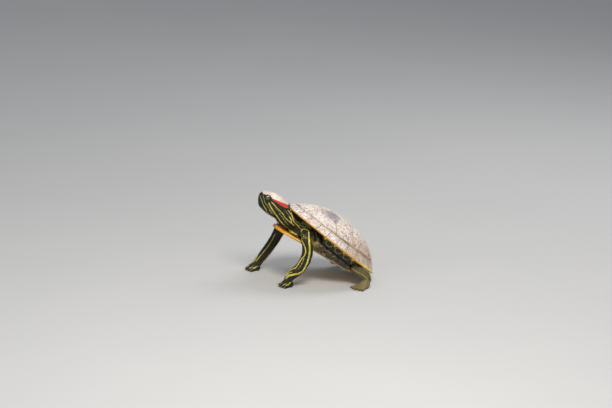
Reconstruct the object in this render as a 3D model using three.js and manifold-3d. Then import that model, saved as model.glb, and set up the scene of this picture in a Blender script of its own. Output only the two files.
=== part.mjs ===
// A red-eared slider turtle (Trachemys scripta elegans), life size, basking with its front raised.
// Millimetres, +Z up. The animal faces -Y, so its left side is on +X, and it stands on Z = 0.
// The shell is a set of separate plates: nuchal, vertebral, costal and marginal scutes over a plastron.
// The flesh is modelled whole, trimmed by the shell, and then parted with thin cuts.

import * as THREE from 'three';
import { mergeVertices } from 'three/addons/utils/BufferGeometryUtils.js';
import Module from 'manifold-3d';

// ---------------------------------------------------------------- driving dimensions
const SHELL_LENGTH = 170;          // straight carapace length
const SHELL_HALF_WIDTH = 66;
const DOME_HEIGHT = 37;            // top of the carapace above its rim
const DOME_CURVE = 2.45;           // exponent of the dome's profile
const WIDEST_AT = -8;              // station of the greatest width, from mid-length
const OUTLINE_CURVE = 2.25;        // exponent of the outline seen from above
const RIM_SAG = 1;                 // how far the rim dips along the flanks
const PITCH = THREE.MathUtils.degToRad(36.5);   // the shell is raised nose up
const SHELL_RISE = 61.5;           // height of the shell's middle above the ground
const PLASTRON_REAR = -73;
const PLASTRON_FRONT = 80.5;
const PLASTRON_DROP = 27;          // depth of the plastron below the rim at mid-length
const PLASTRON_SLOPE = 0.12;       // it lies deeper towards the front
const PLASTRON_DIP = 0.05;         // and deeper still under the front lobe
const PLASTRON_THICK = 4.5;
const PLATE = 4.5;                 // thickness of the carapace plates
const SCUTE_SWELL = 0.7;           // each scute is a little domed
const GAP = 0.3;                   // clearance between neighbouring solids
const FLESH_CLEAR = 0.7;           // clearance between the flesh and the carapace
const PLASTRON_CLEAR = 1.2;        // clearance between the flesh and the plastron
const RING_FRONT = 0.885;          // inner edge of the marginal scutes, as a fraction of the radius
const RING_REAR = 0.83;
const NUCHAL_HALF_WIDTH = 6;
const MARGINALS = 12;              // on each side
const EYE_RADIUS = 5;
const CRUMB = 20;                  // cuts can shave off scraps smaller than this, in cubic millimetres
const BIG = 400;

// ---------------------------------------------------------------- frames
// A point given by its side, its distance forward and its height above the ground.
function at(side, forward, height) {
  return new THREE.Vector3(side, -forward, height);
}

// A point of the shell, given by its side, station along the shell and height above the rim plane.
function onShell(side, station, height) {
  const forward = station * Math.cos(PITCH) - height * Math.sin(PITCH);
  const up = station * Math.sin(PITCH) + height * Math.cos(PITCH);
  return at(side, forward, SHELL_RISE + up);
}

// ---------------------------------------------------------------- solids
const wasm = await Module();
wasm.setup();

function solidFrom(geometry) {
  const bare = geometry.index ? geometry.clone() : geometry;
  bare.deleteAttribute('normal');
  bare.deleteAttribute('uv');
  const merged = mergeVertices(bare, 1e-4);
  return new wasm.Manifold(new wasm.Mesh({
    numProp: 3,
    vertProperties: new Float32Array(merged.attributes.position.array),
    triVerts: new Uint32Array(merged.index.array),
  }));
}

function geometryFrom(solid) {
  const mesh = solid.getMesh();
  const geometry = new THREE.BufferGeometry();
  geometry.setAttribute('position', new THREE.BufferAttribute(new Float32Array(mesh.vertProperties), 3));
  geometry.setIndex(new THREE.BufferAttribute(new Uint32Array(mesh.triVerts), 1));
  geometry.computeVertexNormals();
  return geometry;
}

function joined(solids) {
  return solids.reduce((sum, solid) => sum.add(solid));
}

// A closed solid from rings of equal count, each listed the same way round, with a fan at each end.
function skinned(rings) {
  const count = rings[0].length;
  const points = rings.flat();
  const triangles = [];
  for (let ring = 0; ring + 1 < rings.length; ring += 1) {
    for (let side = 0; side < count; side += 1) {
      const next = (side + 1) % count;
      const a = ring * count + side;
      const b = ring * count + next;
      triangles.push(a, b, b + count, a, b + count, a + count);
    }
  }
  for (const [ring, flip] of [[0, true], [rings.length - 1, false]]) {
    const centre = new THREE.Vector3();
    rings[ring].forEach((point) => centre.addScaledVector(point, 1 / count));
    points.push(centre);
    for (let side = 0; side < count; side += 1) {
      const a = ring * count + side;
      const b = ring * count + (side + 1) % count;
      triangles.push(points.length - 1, flip ? b : a, flip ? a : b);
    }
  }
  const geometry = new THREE.BufferGeometry();
  const flat = points.flatMap((point) => [point.x, point.y, point.z]);
  geometry.setAttribute('position', new THREE.Float32BufferAttribute(flat, 3));
  geometry.setIndex(triangles);
  return outward(geometry);
}

// The same geometry with its faces turned to point outwards.
function outward(geometry) {
  const position = geometry.attributes.position;
  const index = geometry.index.array;
  const [a, b, c] = [new THREE.Vector3(), new THREE.Vector3(), new THREE.Vector3()];
  let volume = 0;
  for (let i = 0; i < index.length; i += 3) {
    a.fromBufferAttribute(position, index[i]);
    b.fromBufferAttribute(position, index[i + 1]);
    c.fromBufferAttribute(position, index[i + 2]);
    volume += a.dot(b.cross(c)) / 6;
  }
  if (volume < 0) {
    for (let i = 0; i < index.length; i += 3) {
      [index[i], index[i + 1]] = [index[i + 1], index[i]];
    }
  }
  return geometry;
}

function signedPower(value, power) {
  return Math.sign(value) * Math.abs(value) ** power;
}

// A limb, neck or head: rounded sections strung along a line. Each key gives the section's centre,
// its half width, its half depth and the direction of its depth; rings between keys are smoothed.
function lofted(keys, rings, sides, fullness = 2.2) {
  const line = new THREE.CatmullRomCurve3(keys.map((key) => key.centre), false, 'centripetal');
  const depthLine = new THREE.CatmullRomCurve3(keys.map((key) => key.depth), false, 'centripetal');
  const sizes = new THREE.CatmullRomCurve3(
    keys.map((key, i) => new THREE.Vector3(key.wide, key.deep, i)), false, 'centripetal');
  const result = [];
  for (let ring = 0; ring <= rings; ring += 1) {
    const t = ring / rings;
    const along = line.getTangent(t);
    const depth = depthLine.getPoint(t).clone();
    depth.addScaledVector(along, -depth.dot(along)).normalize();
    const width = new THREE.Vector3().crossVectors(depth, along).normalize();
    const size = sizes.getPoint(t);
    const centre = line.getPoint(t);
    const points = [];
    for (let side = 0; side < sides; side += 1) {
      const angle = 2 * Math.PI * side / sides;
      const x = signedPower(Math.cos(angle), 2 / fullness) * size.x;
      const y = signedPower(Math.sin(angle), 2 / fullness) * size.y;
      points.push(centre.clone().addScaledVector(width, x).addScaledVector(depth, y));
    }
    result.push(points);
  }
  return solidFrom(skinned(result));
}

function ellipsoid(centre, radii, tilt = 0, columns = 14, rows = 8) {
  const geometry = new THREE.SphereGeometry(1, columns, rows);
  geometry.scale(radii[0], radii[1], radii[2]);
  geometry.rotateX(tilt);
  geometry.translate(centre.x, centre.y, centre.z);
  return solidFrom(geometry);
}

// A thin flat cut of the clearance's thickness, square to a direction.
function cut(centre, direction, across, tall) {
  const geometry = new THREE.BoxGeometry(across, tall, GAP);
  const look = new THREE.Matrix4().lookAt(direction, new THREE.Vector3(), new THREE.Vector3(0, 0, 1));
  geometry.applyMatrix4(look);
  geometry.translate(centre.x, centre.y, centre.z);
  return solidFrom(geometry);
}

// ---------------------------------------------------------------- carapace surface
function halfLength(station) {
  return station > WIDEST_AT ? SHELL_LENGTH / 2 - WIDEST_AT : SHELL_LENGTH / 2 + WIDEST_AT;
}

// 0 at the crown and 1 at the rim, for a point seen from above.
function radiusFraction(side, station) {
  const across = Math.abs(side) / SHELL_HALF_WIDTH;
  const along = Math.abs(station - WIDEST_AT) / halfLength(station);
  return (across ** OUTLINE_CURVE + along ** OUTLINE_CURVE) ** (1 / OUTLINE_CURVE);
}

function domeHeight(side, station) {
  const fraction = radiusFraction(side, station);
  const flank = Math.min(1, Math.abs(side) / SHELL_HALF_WIDTH);
  return DOME_HEIGHT * (1 - fraction ** DOME_CURVE) - RIM_SAG * flank;
}

// The left half of the outline seen from above, from the front tip to the rear tip.
const OUTLINE_STEPS = 240;
const outline = [];
for (let i = 0; i <= OUTLINE_STEPS; i += 1) {
  const turn = Math.PI * i / OUTLINE_STEPS;
  const side = signedPower(Math.sin(turn), 2 / OUTLINE_CURVE) * SHELL_HALF_WIDTH;
  const reach = signedPower(Math.cos(turn), 2 / OUTLINE_CURVE);
  const length = halfLength(WIDEST_AT + Math.sign(reach || 1));
  outline.push(new THREE.Vector2(side, WIDEST_AT + reach * length));
}
const outlineLength = [0];
for (let i = 1; i <= OUTLINE_STEPS; i += 1) {
  outlineLength.push(outlineLength[i - 1] + outline[i].distanceTo(outline[i - 1]));
}
const HALF_OUTLINE = outlineLength[OUTLINE_STEPS];

// The point at a length along the outline from the front tip.
function outlinePoint(length) {
  const target = Math.min(Math.max(length, 0), HALF_OUTLINE);
  let i = 1;
  while (i < OUTLINE_STEPS && outlineLength[i] < target) i += 1;
  const part = (target - outlineLength[i - 1]) / (outlineLength[i] - outlineLength[i - 1]);
  return outline[i - 1].clone().lerp(outline[i], part);
}

const MARGINAL_LENGTH = (HALF_OUTLINE - NUCHAL_HALF_WIDTH) / MARGINALS;

// The outline's length from the front tip to the front end of a marginal, numbered from 1.
function marginalStart(number) {
  return NUCHAL_HALF_WIDTH + (number - 1) * MARGINAL_LENGTH;
}

// Where the marginal scutes end inwards, as a fraction of the radius at a place on the outline.
function ringFraction(length) {
  return THREE.MathUtils.lerp(RING_FRONT, RING_REAR, length / HALF_OUTLINE);
}

// A point at a fraction of the radius below a place on the outline, seen from above.
function inward(length, fraction) {
  const rim = outlinePoint(length);
  return new THREE.Vector2(rim.x * fraction, WIDEST_AT + (rim.y - WIDEST_AT) * fraction);
}

// A point of the dome in the shell's own axes, and the direction straight out of it.
function domePoint(plan, depth = 0, lift = 0) {
  const step = 0.5;
  const height = domeHeight(plan.x, plan.y);
  const slopeSide = (domeHeight(plan.x + step, plan.y) - domeHeight(plan.x - step, plan.y)) / (2 * step);
  const slopeAlong = (domeHeight(plan.x, plan.y + step) - domeHeight(plan.x, plan.y - step)) / (2 * step);
  const out = new THREE.Vector3(-slopeSide, -slopeAlong, 1).normalize();
  return new THREE.Vector3(plan.x, plan.y, height).addScaledVector(out, lift - depth);
}

function toWorld(point) {
  return onShell(point.x, point.y, point.z);
}

// A scute from its four-sided place seen from above: place(u, v) with u and v from 0 to 1.
function scute(place, columns, rows) {
  const wide = place(0, 0.5).distanceTo(place(1, 0.5));
  const long = place(0.5, 0).distanceTo(place(0.5, 1));
  const [insetU, insetV] = [GAP / 2 / wide, GAP / 2 / long];
  const points = [];
  for (const depth of [0, PLATE]) {
    for (let row = 0; row <= rows; row += 1) {
      for (let column = 0; column <= columns; column += 1) {
        const u = THREE.MathUtils.lerp(insetU, 1 - insetU, column / columns);
        const v = THREE.MathUtils.lerp(insetV, 1 - insetV, row / rows);
        const swell = depth ? 0 : SCUTE_SWELL * Math.sqrt(16 * u * (1 - u) * v * (1 - v));
        points.push(toWorld(domePoint(place(u, v), depth, swell)));
      }
    }
  }
  return solidFrom(sheetSolid(points, columns, rows));
}

// A closed solid from two grids of points, the upper one first.
function sheetSolid(points, columns, rows) {
  const stride = columns + 1;
  const layer = stride * (rows + 1);
  const triangles = [];
  const quad = (a, b, c, d) => triangles.push(a, b, c, a, c, d);
  for (let row = 0; row < rows; row += 1) {
    for (let column = 0; column < columns; column += 1) {
      const a = row * stride + column;
      quad(a, a + 1, a + 1 + stride, a + stride);
      quad(layer + a, layer + a + stride, layer + a + 1 + stride, layer + a + 1);
    }
  }
  for (let column = 0; column < columns; column += 1) {
    const last = rows * stride + column;
    quad(column, layer + column, layer + column + 1, column + 1);
    quad(last, last + 1, layer + last + 1, layer + last);
  }
  for (let row = 0; row < rows; row += 1) {
    const a = row * stride;
    const b = a + columns;
    quad(a, a + stride, layer + a + stride, layer + a);
    quad(b, layer + b, layer + b + stride, b + stride);
  }
  const geometry = new THREE.BufferGeometry();
  const flat = points.flatMap((point) => [point.x, point.y, point.z]);
  geometry.setAttribute('position', new THREE.Float32BufferAttribute(flat, 3));
  geometry.setIndex(triangles);
  return outward(geometry);
}

// ---------------------------------------------------------------- vertebral and costal scutes
// Half widths of the vertebral row: at each seam between two scutes and at the widest place between.
const VERTEBRAL_SEAMS = [73, 44, 13, -18, -46, -73];
const VERTEBRAL_AT_SEAM = [15, 14, 14, 14, 12, 17];
const VERTEBRAL_WIDEST = [18.5, 20, 20.5, 19, 15];
const WIDEST_STATIONS = VERTEBRAL_WIDEST.map((_, i) => (VERTEBRAL_SEAMS[i] + VERTEBRAL_SEAMS[i + 1]) / 2);

function ringPlan(length) {
  return inward(length, ringFraction(length));
}

// The corner of a vertebral scute: on the marginal ring at both ends of the row.
function vertebralCorner(seam) {
  if (seam === 0) return ringPlan(marginalStart(2));
  if (seam === VERTEBRAL_SEAMS.length - 1) return ringPlan(marginalStart(MARGINALS));
  return new THREE.Vector2(VERTEBRAL_AT_SEAM[seam], VERTEBRAL_SEAMS[seam]);
}

// The edge shared by the vertebral row and the left costals: v from 0 to 1 along one vertebral.
function vertebralEdge(number, v) {
  const front = vertebralCorner(number);
  const rear = vertebralCorner(number + 1);
  const knee = new THREE.Vector2(VERTEBRAL_WIDEST[number], WIDEST_STATIONS[number]);
  return v < 0.5 ? front.clone().lerp(knee, v * 2) : knee.clone().lerp(rear, v * 2 - 1);
}

// The end seams bow along the marginal ring; the seams between vertebrals are straight.
function vertebralCross(seam, across) {
  const corner = vertebralCorner(seam);
  if (seam > 0 && seam < VERTEBRAL_SEAMS.length - 1) {
    return new THREE.Vector2(corner.x * across, corner.y);
  }
  const atFront = seam === 0;
  const reach = atFront ? marginalStart(2) : HALF_OUTLINE - marginalStart(MARGINALS);
  const length = reach * Math.abs(across);
  const plan = ringPlan(atFront ? length : HALF_OUTLINE - length);
  return new THREE.Vector2(plan.x * Math.sign(across), plan.y);
}

function vertebral(number) {
  return scute((u, v) => {
    const across = 1 - 2 * u;
    const edge = vertebralEdge(number, v);
    const middle = vertebralCross(number, across).lerp(vertebralCross(number + 1, across), v);
    const corners = vertebralCorner(number).lerp(vertebralCorner(number + 1), v);
    const bulge = edge.sub(corners).multiplyScalar(Math.abs(across));
    return new THREE.Vector2(middle.x + bulge.x * Math.sign(across), middle.y + bulge.y);
  }, 4, 4);
}

// Costal seams run from the vertebrals' widest places out to these lengths along the outline,
// in marginals from the front.
const COSTAL_SEAM_MARGINALS = [1, 4.5, 6.5, 8.6, 11];

function costalInner(number, v) {
  // From mid vertebral to mid vertebral, with the vertebrals' seam as a corner between.
  if (number === 0) {
    return v < 2 / 3 ? vertebralEdge(0, v * 1.5) : vertebralEdge(1, v * 1.5 - 1);
  }
  if (number === 3) {
    return v < 1 / 3 ? vertebralEdge(3, 0.5 + v * 1.5) : vertebralEdge(4, v * 1.5 - 0.5);
  }
  return v < 0.5 ? vertebralEdge(number, 0.5 + v) : vertebralEdge(number + 1, v - 0.5);
}

function costal(number, hand) {
  const from = marginalStart(1) + COSTAL_SEAM_MARGINALS[number] * MARGINAL_LENGTH;
  const to = marginalStart(1) + COSTAL_SEAM_MARGINALS[number + 1] * MARGINAL_LENGTH;
  return scute((u, v) => {
    const inner = costalInner(number, v);
    const outer = ringPlan(THREE.MathUtils.lerp(from, to, v));
    const plan = inner.lerp(outer, u);
    plan.x *= hand;
    return plan;
  }, 3, 6);
}

// ---------------------------------------------------------------- marginal scutes and the nuchal
const MARGINAL_STEPS = 2;          // lengths that a marginal is made of along the rim
const SCALLOP = 1.1;               // how far the rear marginals' edges stand out between seams
const LIP_INWARD = 12;             // width of a marginal's underside
const LIP_DROP = 3.5;              // its fall below the rim, fore and aft
const BRIDGE_DROP = 13;            // its fall where the bridge meets it
const BRIDGE_FRONT = 34;
const BRIDGE_REAR = -32;
const BRIDGE_FADE = 9;

// 1 along the bridge, 0 fore and aft of it.
function bridgeShare(station) {
  const front = THREE.MathUtils.smoothstep(BRIDGE_FRONT + BRIDGE_FADE - station, 0, BRIDGE_FADE);
  const rear = THREE.MathUtils.smoothstep(station - BRIDGE_REAR + BRIDGE_FADE, 0, BRIDGE_FADE);
  return front * rear;
}

// The underside's inner edge for a place on the outline, as a point in the shell's axes.
function lipPoint(length) {
  const rim = outlinePoint(length);
  const reach = Math.hypot(rim.x, rim.y - WIDEST_AT);
  const plan = inward(length, 1 - LIP_INWARD / reach);
  const drop = THREE.MathUtils.lerp(LIP_DROP, BRIDGE_DROP, bridgeShare(rim.y));
  return new THREE.Vector3(plan.x, plan.y, domeHeight(rim.x, rim.y) - drop);
}

// A marginal's section at a place on the outline: top edge, rim, underside and inner face.
function marginalSection(length, hand, stand, grow = 0) {
  const rim = outlinePoint(length);
  const reach = Math.hypot(rim.x, rim.y - WIDEST_AT);
  const toCentre = new THREE.Vector3(-rim.x, WIDEST_AT - rim.y, 0).normalize();
  const ring = ringFraction(length) + GAP / 2 / reach;
  const lip = lipPoint(length);
  const rimTop = domePoint(rim, 0.8);
  const rimUnder = domePoint(rim, 2.6);
  const section = [
    domePoint(inward(length, ring), 0, grow),
    rimTop.addScaledVector(toCentre, -stand - grow).setZ(rimTop.z + grow),
    rimUnder.addScaledVector(toCentre, 1 - stand - grow).setZ(rimUnder.z - grow),
    lip.clone().setZ(lip.z - grow).addScaledVector(toCentre, grow),
    lip.clone().setZ(lip.z + 2.4).addScaledVector(toCentre, 1.5 + grow),
    domePoint(inward(length, ring), PLATE + grow),
  ];
  return section.map((point) => toWorld(point.setX(point.x * hand)));
}

function marginal(number, hand) {
  const from = marginalStart(number) + GAP / 2;
  const to = marginalStart(number + 1) - GAP / 2;
  const steps = MARGINAL_STEPS;
  const rings = [];
  for (let step = 0; step <= steps; step += 1) {
    const t = step / steps;
    const rear = THREE.MathUtils.smoothstep(number, 6, 9);
    const stand = SCALLOP * (0.25 + 0.75 * rear) * Math.sin(Math.PI * t);
    rings.push(marginalSection(THREE.MathUtils.lerp(from, to, t), hand, stand));
  }
  return solidFrom(skinned(rings));
}

// The nuchal is the small front plate between the first marginals.
function nuchal() {
  const rings = [];
  for (const place of [-1, -0.4, 0.4, 1]) {
    const length = (NUCHAL_HALF_WIDTH - GAP / 2) * Math.abs(place);
    rings.push(marginalSection(length, Math.sign(place), 0));
  }
  return solidFrom(skinned(rings));
}

// The whole carapace as one solid, a clearance larger, to trim the flesh with.
function carapaceClearance() {
  const halfway = [0, NUCHAL_HALF_WIDTH * 0.4];
  for (let i = 0; i <= MARGINALS * MARGINAL_STEPS; i += 1) {
    halfway.push(NUCHAL_HALF_WIDTH + i * MARGINAL_LENGTH / MARGINAL_STEPS);
  }
  const fractions = [0.7, 0.45, 0.2];
  const sections = [];
  const around = [
    ...halfway.map((length) => [length, 1]),
    ...halfway.slice(1, -1).toReversed().map((length) => [length, -1]),
  ];
  for (const [length, hand] of around) {
    const dome = (fraction, depth) => {
      const point = domePoint(inward(length, fraction), depth);
      return toWorld(point.setX(point.x * hand));
    };
    sections.push([
      ...fractions.toReversed().map((fraction) => dome(fraction, -FLESH_CLEAR)),
      ...marginalSection(length, hand, SCALLOP, FLESH_CLEAR),
      ...fractions.map((fraction) => dome(fraction, PLATE + FLESH_CLEAR)),
    ]);
  }
  // The rings run from the crown outside, over the rim, to the crown inside.
  const rings = sections[0].map((_, i) => sections.map((section) => section[i]));
  return solidFrom(skinned(rings));
}

// ---------------------------------------------------------------- plastron with its bridges
function plastronDepth(station) {
  return PLASTRON_DROP + PLASTRON_SLOPE * station + PLASTRON_DIP * Math.max(0, station - 36);
}

// Half width of the plastron's flat part, from its rear lobe to its front lobe.
const PLASTRON_OUTLINE = [
  [PLASTRON_REAR, 9], [-70, 19], [-60, 30], [-44, 36], [-28, 41], [0, 44], [28, 43], [48, 39],
  [64, 33], [75, 26], [PLASTRON_FRONT, 15],
];

function plastronHalfWidth(station) {
  const rows = PLASTRON_OUTLINE;
  let i = 1;
  while (i < rows.length - 1 && rows[i][0] < station) i += 1;
  const [[s0, w0], [s1, w1]] = [rows[i - 1], rows[i]];
  return THREE.MathUtils.lerp(w0, w1, THREE.MathUtils.clamp((station - s0) / (s1 - s0), 0, 1));
}

// A point of the plastron's lower or upper face. across runs from -1 to 1.
function plastronPoint(across, station, upper, grow) {
  const side = Math.abs(across);
  const flatShare = 0.74;
  const flatWidth = plastronHalfWidth(station) + grow;
  const share = bridgeShare(station);
  const base = -plastronDepth(station) + (upper ? PLASTRON_THICK + grow : -grow);
  let x = flatWidth * side;
  let h = base + (upper ? 0 : 1) * 0.8 * side ** 6;
  if (share > 0) {
    const rim = outlineSideAt(station);
    const meetX = rim - LIP_INWARD + (upper ? -1 : grow);
    const meetH = domeHeight(rim, station) - BRIDGE_DROP - GAP * 1.5 + (upper ? 1.5 * grow : -2.2 - grow);
    const t = THREE.MathUtils.clamp((side - flatShare) / (1 - flatShare), 0, 1);
    const onFlat = side < flatShare;
    const bridgedX = onFlat ? flatWidth * side / flatShare : THREE.MathUtils.lerp(flatWidth, meetX, t);
    const bridgedH = onFlat ? base : THREE.MathUtils.lerp(base, meetH, t ** 1.15);
    x = THREE.MathUtils.lerp(x, bridgedX, share);
    h = THREE.MathUtils.lerp(h, bridgedH, share);
  }
  return new THREE.Vector3(Math.sign(across) * x, station, h);
}

// The outline's half width at a station.
function outlineSideAt(station) {
  const along = Math.abs(station - WIDEST_AT) / halfLength(station);
  return SHELL_HALF_WIDTH * Math.max(0, 1 - along ** OUTLINE_CURVE) ** (1 / OUTLINE_CURVE);
}

function plastron(grow = 0) {
  const columns = 10;
  const rows = 16;
  const points = [];
  for (const upper of [true, false]) {
    for (let row = 0; row <= rows; row += 1) {
      const t = row / rows;
      const reach = Math.sign(t - 0.5) * grow * (Math.abs(t - 0.5) === 0.5 ? 1 : 0);
      const eased = t - 0.055 * Math.sin(2 * Math.PI * t);
      const station = THREE.MathUtils.lerp(PLASTRON_REAR, PLASTRON_FRONT, eased);
      for (let column = 0; column <= columns; column += 1) {
        const across = column / columns * 2 - 1;
        const point = plastronPoint(across, station, upper, grow);
        // The rear edge has a shallow notch and the front edge is gently rounded.
        const notch = t < 0.1 ? 4 * (1 - Math.abs(across)) * (1 - t / 0.1) : 0;
        const nose = t > 0.9 ? 2.5 * (1 - across * across) * (t - 0.9) / 0.1 : 0;
        point.y += reach + notch + nose;
        points.push(toWorld(point));
      }
    }
  }
  return solidFrom(sheetSolid(points, columns, rows));
}

// ---------------------------------------------------------------- head and neck
// Sections of the head and neck in the animal's middle plane, from the snout into the shell:
// the top and the bottom of each as distance forward and height above the ground, and its half width.
const HEAD_AND_NECK = [
  [[118.2, 128.8], [118.3, 125.2], 1.9],
  [[117.7, 133.0], [117.4, 120.9], 5.0],
  [[115.2, 136.8], [115.4, 116.2], 7.4],
  [[110.2, 137.9], [111.8, 111.6], 9.3],
  [[103.6, 137.0], [107.0, 107.0], 11.0],
  [[96.4, 134.8], [102.4, 102.6], 12.2],
  [[88.6, 131.2], [97.6, 98.4], 12.9],
  [[81.4, 126.8], [92.6, 95.2], 12.8],
  [[75.6, 122.0], [87.4, 92.0], 12.6],
  [[71.4, 115.8], [83.4, 88.0], 13.4],
  [[65.4, 110.0], [79.0, 83.0], 15.4],
  [[56.5, 102.0], [70.0, 77.0], 17.0],
  [[44.0, 88.0], [50.0, 74.0], 11.0],
];
const EYE = { side: 7.9, forward: 107.6, height: 129.0 };
const MOUTH_FRONT = [120.5, 121.4];
const MOUTH_CORNER = [102.5, 113.2];
const JAW_REAR = [98.5, 97.0];
const HEAD_CUT = 8.5;              // where the head and the neck part, in sections from the snout
const NECK_CUT = 10.6;             // where the neck and the trunk part

function headKey([top, bottom, halfWidth]) {
  const upper = at(0, top[0], top[1]);
  const lower = at(0, bottom[0], bottom[1]);
  return {
    centre: upper.clone().lerp(lower, 0.5),
    depth: upper.clone().sub(lower),
    wide: halfWidth,
    deep: upper.distanceTo(lower) / 2,
  };
}

const headKeys = HEAD_AND_NECK.map(headKey);

function sectionCut(place, across, tall) {
  const i = Math.floor(place);
  const centre = headKeys[i].centre.clone().lerp(headKeys[i + 1].centre, place - i);
  const along = headKeys[i + 1].centre.clone().sub(headKeys[i].centre);
  const depth = headKeys[i].depth.clone().lerp(headKeys[i + 1].depth, place - i);
  const side = new THREE.Vector3(1, 0, 0);
  const square = new THREE.Vector3().crossVectors(side, depth).normalize();
  return cut(centre, square.dot(along) > 0 ? square : square.negate(), across, tall);
}

function eyeCentre(hand) {
  return at(EYE.side * hand, EYE.forward, EYE.height);
}

function headAndNeck() {
  const whole = lofted(headKeys, 19, 14, 2.25);
  const brows = [1, -1].map((hand) => ellipsoid(
    at(6.4 * hand, EYE.forward - 0.6, EYE.height + 0.6), [5.6, 7.4, 6.6], 0.35, 10, 6));
  const sockets = [1, -1].map((hand) => ellipsoid(
    eyeCentre(hand), [EYE_RADIUS + GAP, EYE_RADIUS + GAP, EYE_RADIUS + GAP], 0, 12, 8));
  const opening = [1, -1].map((hand) => ellipsoid(
    at((EYE.side + 4.4) * hand, EYE.forward + 0.2, EYE.height), [4.4, 4.7, 4.0], 0.35, 8, 6));
  return joined([whole, ...brows]).subtract(joined([...sockets, ...opening]));
}

// The mouth line and the line behind the jaw, as thin cuts through the head's whole width.
function jawCuts() {
  const strip = ([f0, h0], [f1, h1]) => {
    const from = at(0, f0, h0);
    const to = at(0, f1, h1);
    const along = to.clone().sub(from);
    const square = new THREE.Vector3(0, -along.z, along.y).normalize();
    const length = along.length() + GAP;
    const geometry = new THREE.BoxGeometry(40, GAP, length);
    const axes = new THREE.Matrix4().makeBasis(new THREE.Vector3(1, 0, 0), square,
      new THREE.Vector3().crossVectors(new THREE.Vector3(1, 0, 0), square));
    geometry.applyMatrix4(axes);
    const middle = from.lerp(to, 0.5);
    geometry.translate(middle.x, middle.y, middle.z);
    return solidFrom(geometry);
  };
  return strip(MOUTH_FRONT, MOUTH_CORNER).add(strip(MOUTH_CORNER, JAW_REAR));
}

// ---------------------------------------------------------------- limbs
// Each limb is a line of [side, forward, height, half width, half depth] from inside the shell to
// the wrist or ankle, on the left side; the width lies across the limb's flat face.
const LEGS = {
  foreleg_left: {
    hand: 1,
    line: [
      [26, 42, 76, 6, 6], [37, 50, 79, 8.5, 8.5], [45, 53, 76, 9.5, 10.5], [49, 53, 66, 8, 8.8],
      [50.5, 53, 52, 7, 8.8], [49.5, 56.5, 38, 6.8, 8.8], [47, 64, 27, 6.8, 8.4],
      [44.5, 72.5, 18.5, 6.8, 7.4], [43, 80, 9.5, 6.4, 5.6],
    ],
    cuts: [1.6, 4.0, 6.6],
    foot: { heel: [44, 74, 6], heading: 4, length: 10, width: 15, toe: 7, claw: 4.5, fan: 62 },
    names: ['foreleg_left_upper', 'foreleg_left_lower', 'forefoot_left'],
  },
  foreleg_right: {
    hand: -1,
    line: [
      [26, 42, 77, 6, 6], [37, 50, 80, 8.5, 8.5], [44.5, 57, 75, 9.5, 10.5], [48, 63, 62, 8, 9],
      [49, 69, 48, 7, 8.4], [49, 78.5, 33, 6.8, 8.2], [48, 87.5, 21, 6.8, 7.6], [46.5, 94.5, 13, 6.6, 6.6],
      [46, 100.5, 7.5, 6.2, 5],
    ],
    cuts: [1.6, 4.0, 6.6],
    foot: { heel: [46.5, 95, 6], heading: 2, length: 10, width: 15, toe: 7, claw: 4.5, fan: 62 },
    names: ['foreleg_right_upper', 'foreleg_right_lower', 'forefoot_right'],
  },
  hindleg_left: {
    hand: 1,
    line: [
      [24, -20, 33, 6, 6], [37, -24, 31, 8.5, 9], [48, -31, 26.5, 9.5, 11], [55.5, -38, 20, 8, 9.4],
      [58.5, -42.5, 13, 6.6, 7.4], [60, -40, 7.5, 6, 6], [62, -35, 5, 6, 4],
    ],
    cuts: [1.5, 3.2, 4.3],
    foot: { heel: [60, -42, 5.4], heading: 27, length: 18, width: 17, toe: 8, claw: 5, fan: 50 },
    names: ['hindleg_left_thigh', 'hindleg_left_shank', 'hindfoot_left'],
  },
  hindleg_right: {
    hand: -1,
    line: [
      [24, -20, 33, 6, 6], [37, -26, 30, 8.5, 9], [47, -36, 25, 9.5, 10.5], [54, -46, 18.5, 8, 9],
      [58, -53, 12.5, 6.6, 7.4], [61, -54, 7.5, 6, 6], [66, -51, 5, 6, 4],
    ],
    cuts: [1.5, 3.2, 4.3],
    foot: { heel: [60.5, -56, 5.4], heading: 62, length: 18, width: 17, toe: 8, claw: 5, fan: 50 },
    names: ['hindleg_right_thigh', 'hindleg_right_shank', 'hindfoot_right'],
  },
};

function limbKeys(leg) {
  return leg.line.map(([side, forward, height, wide, deep], i) => {
    const next = leg.line[Math.min(i + 1, leg.line.length - 1)];
    const previous = leg.line[Math.max(i - 1, 0)];
    const along = at(next[0] * leg.hand, next[1], next[2])
      .sub(at(previous[0] * leg.hand, previous[1], previous[2])).normalize();
    const across = new THREE.Vector3(leg.hand, 0, 0.2);
    return {
      centre: at(side * leg.hand, forward, height),
      depth: new THREE.Vector3().crossVectors(along, across).normalize(),
      wide,
      deep,
    };
  });
}

// A point inside the middle of the foot.
function soleCentre(leg) {
  const { heel, heading, length } = leg.foot;
  const turn = THREE.MathUtils.degToRad(heading) * leg.hand;
  return at(heel[0] * leg.hand, heel[1], 3)
    .add(new THREE.Vector3(Math.sin(turn), -Math.cos(turn), 0).multiplyScalar(length / 2));
}

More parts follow.
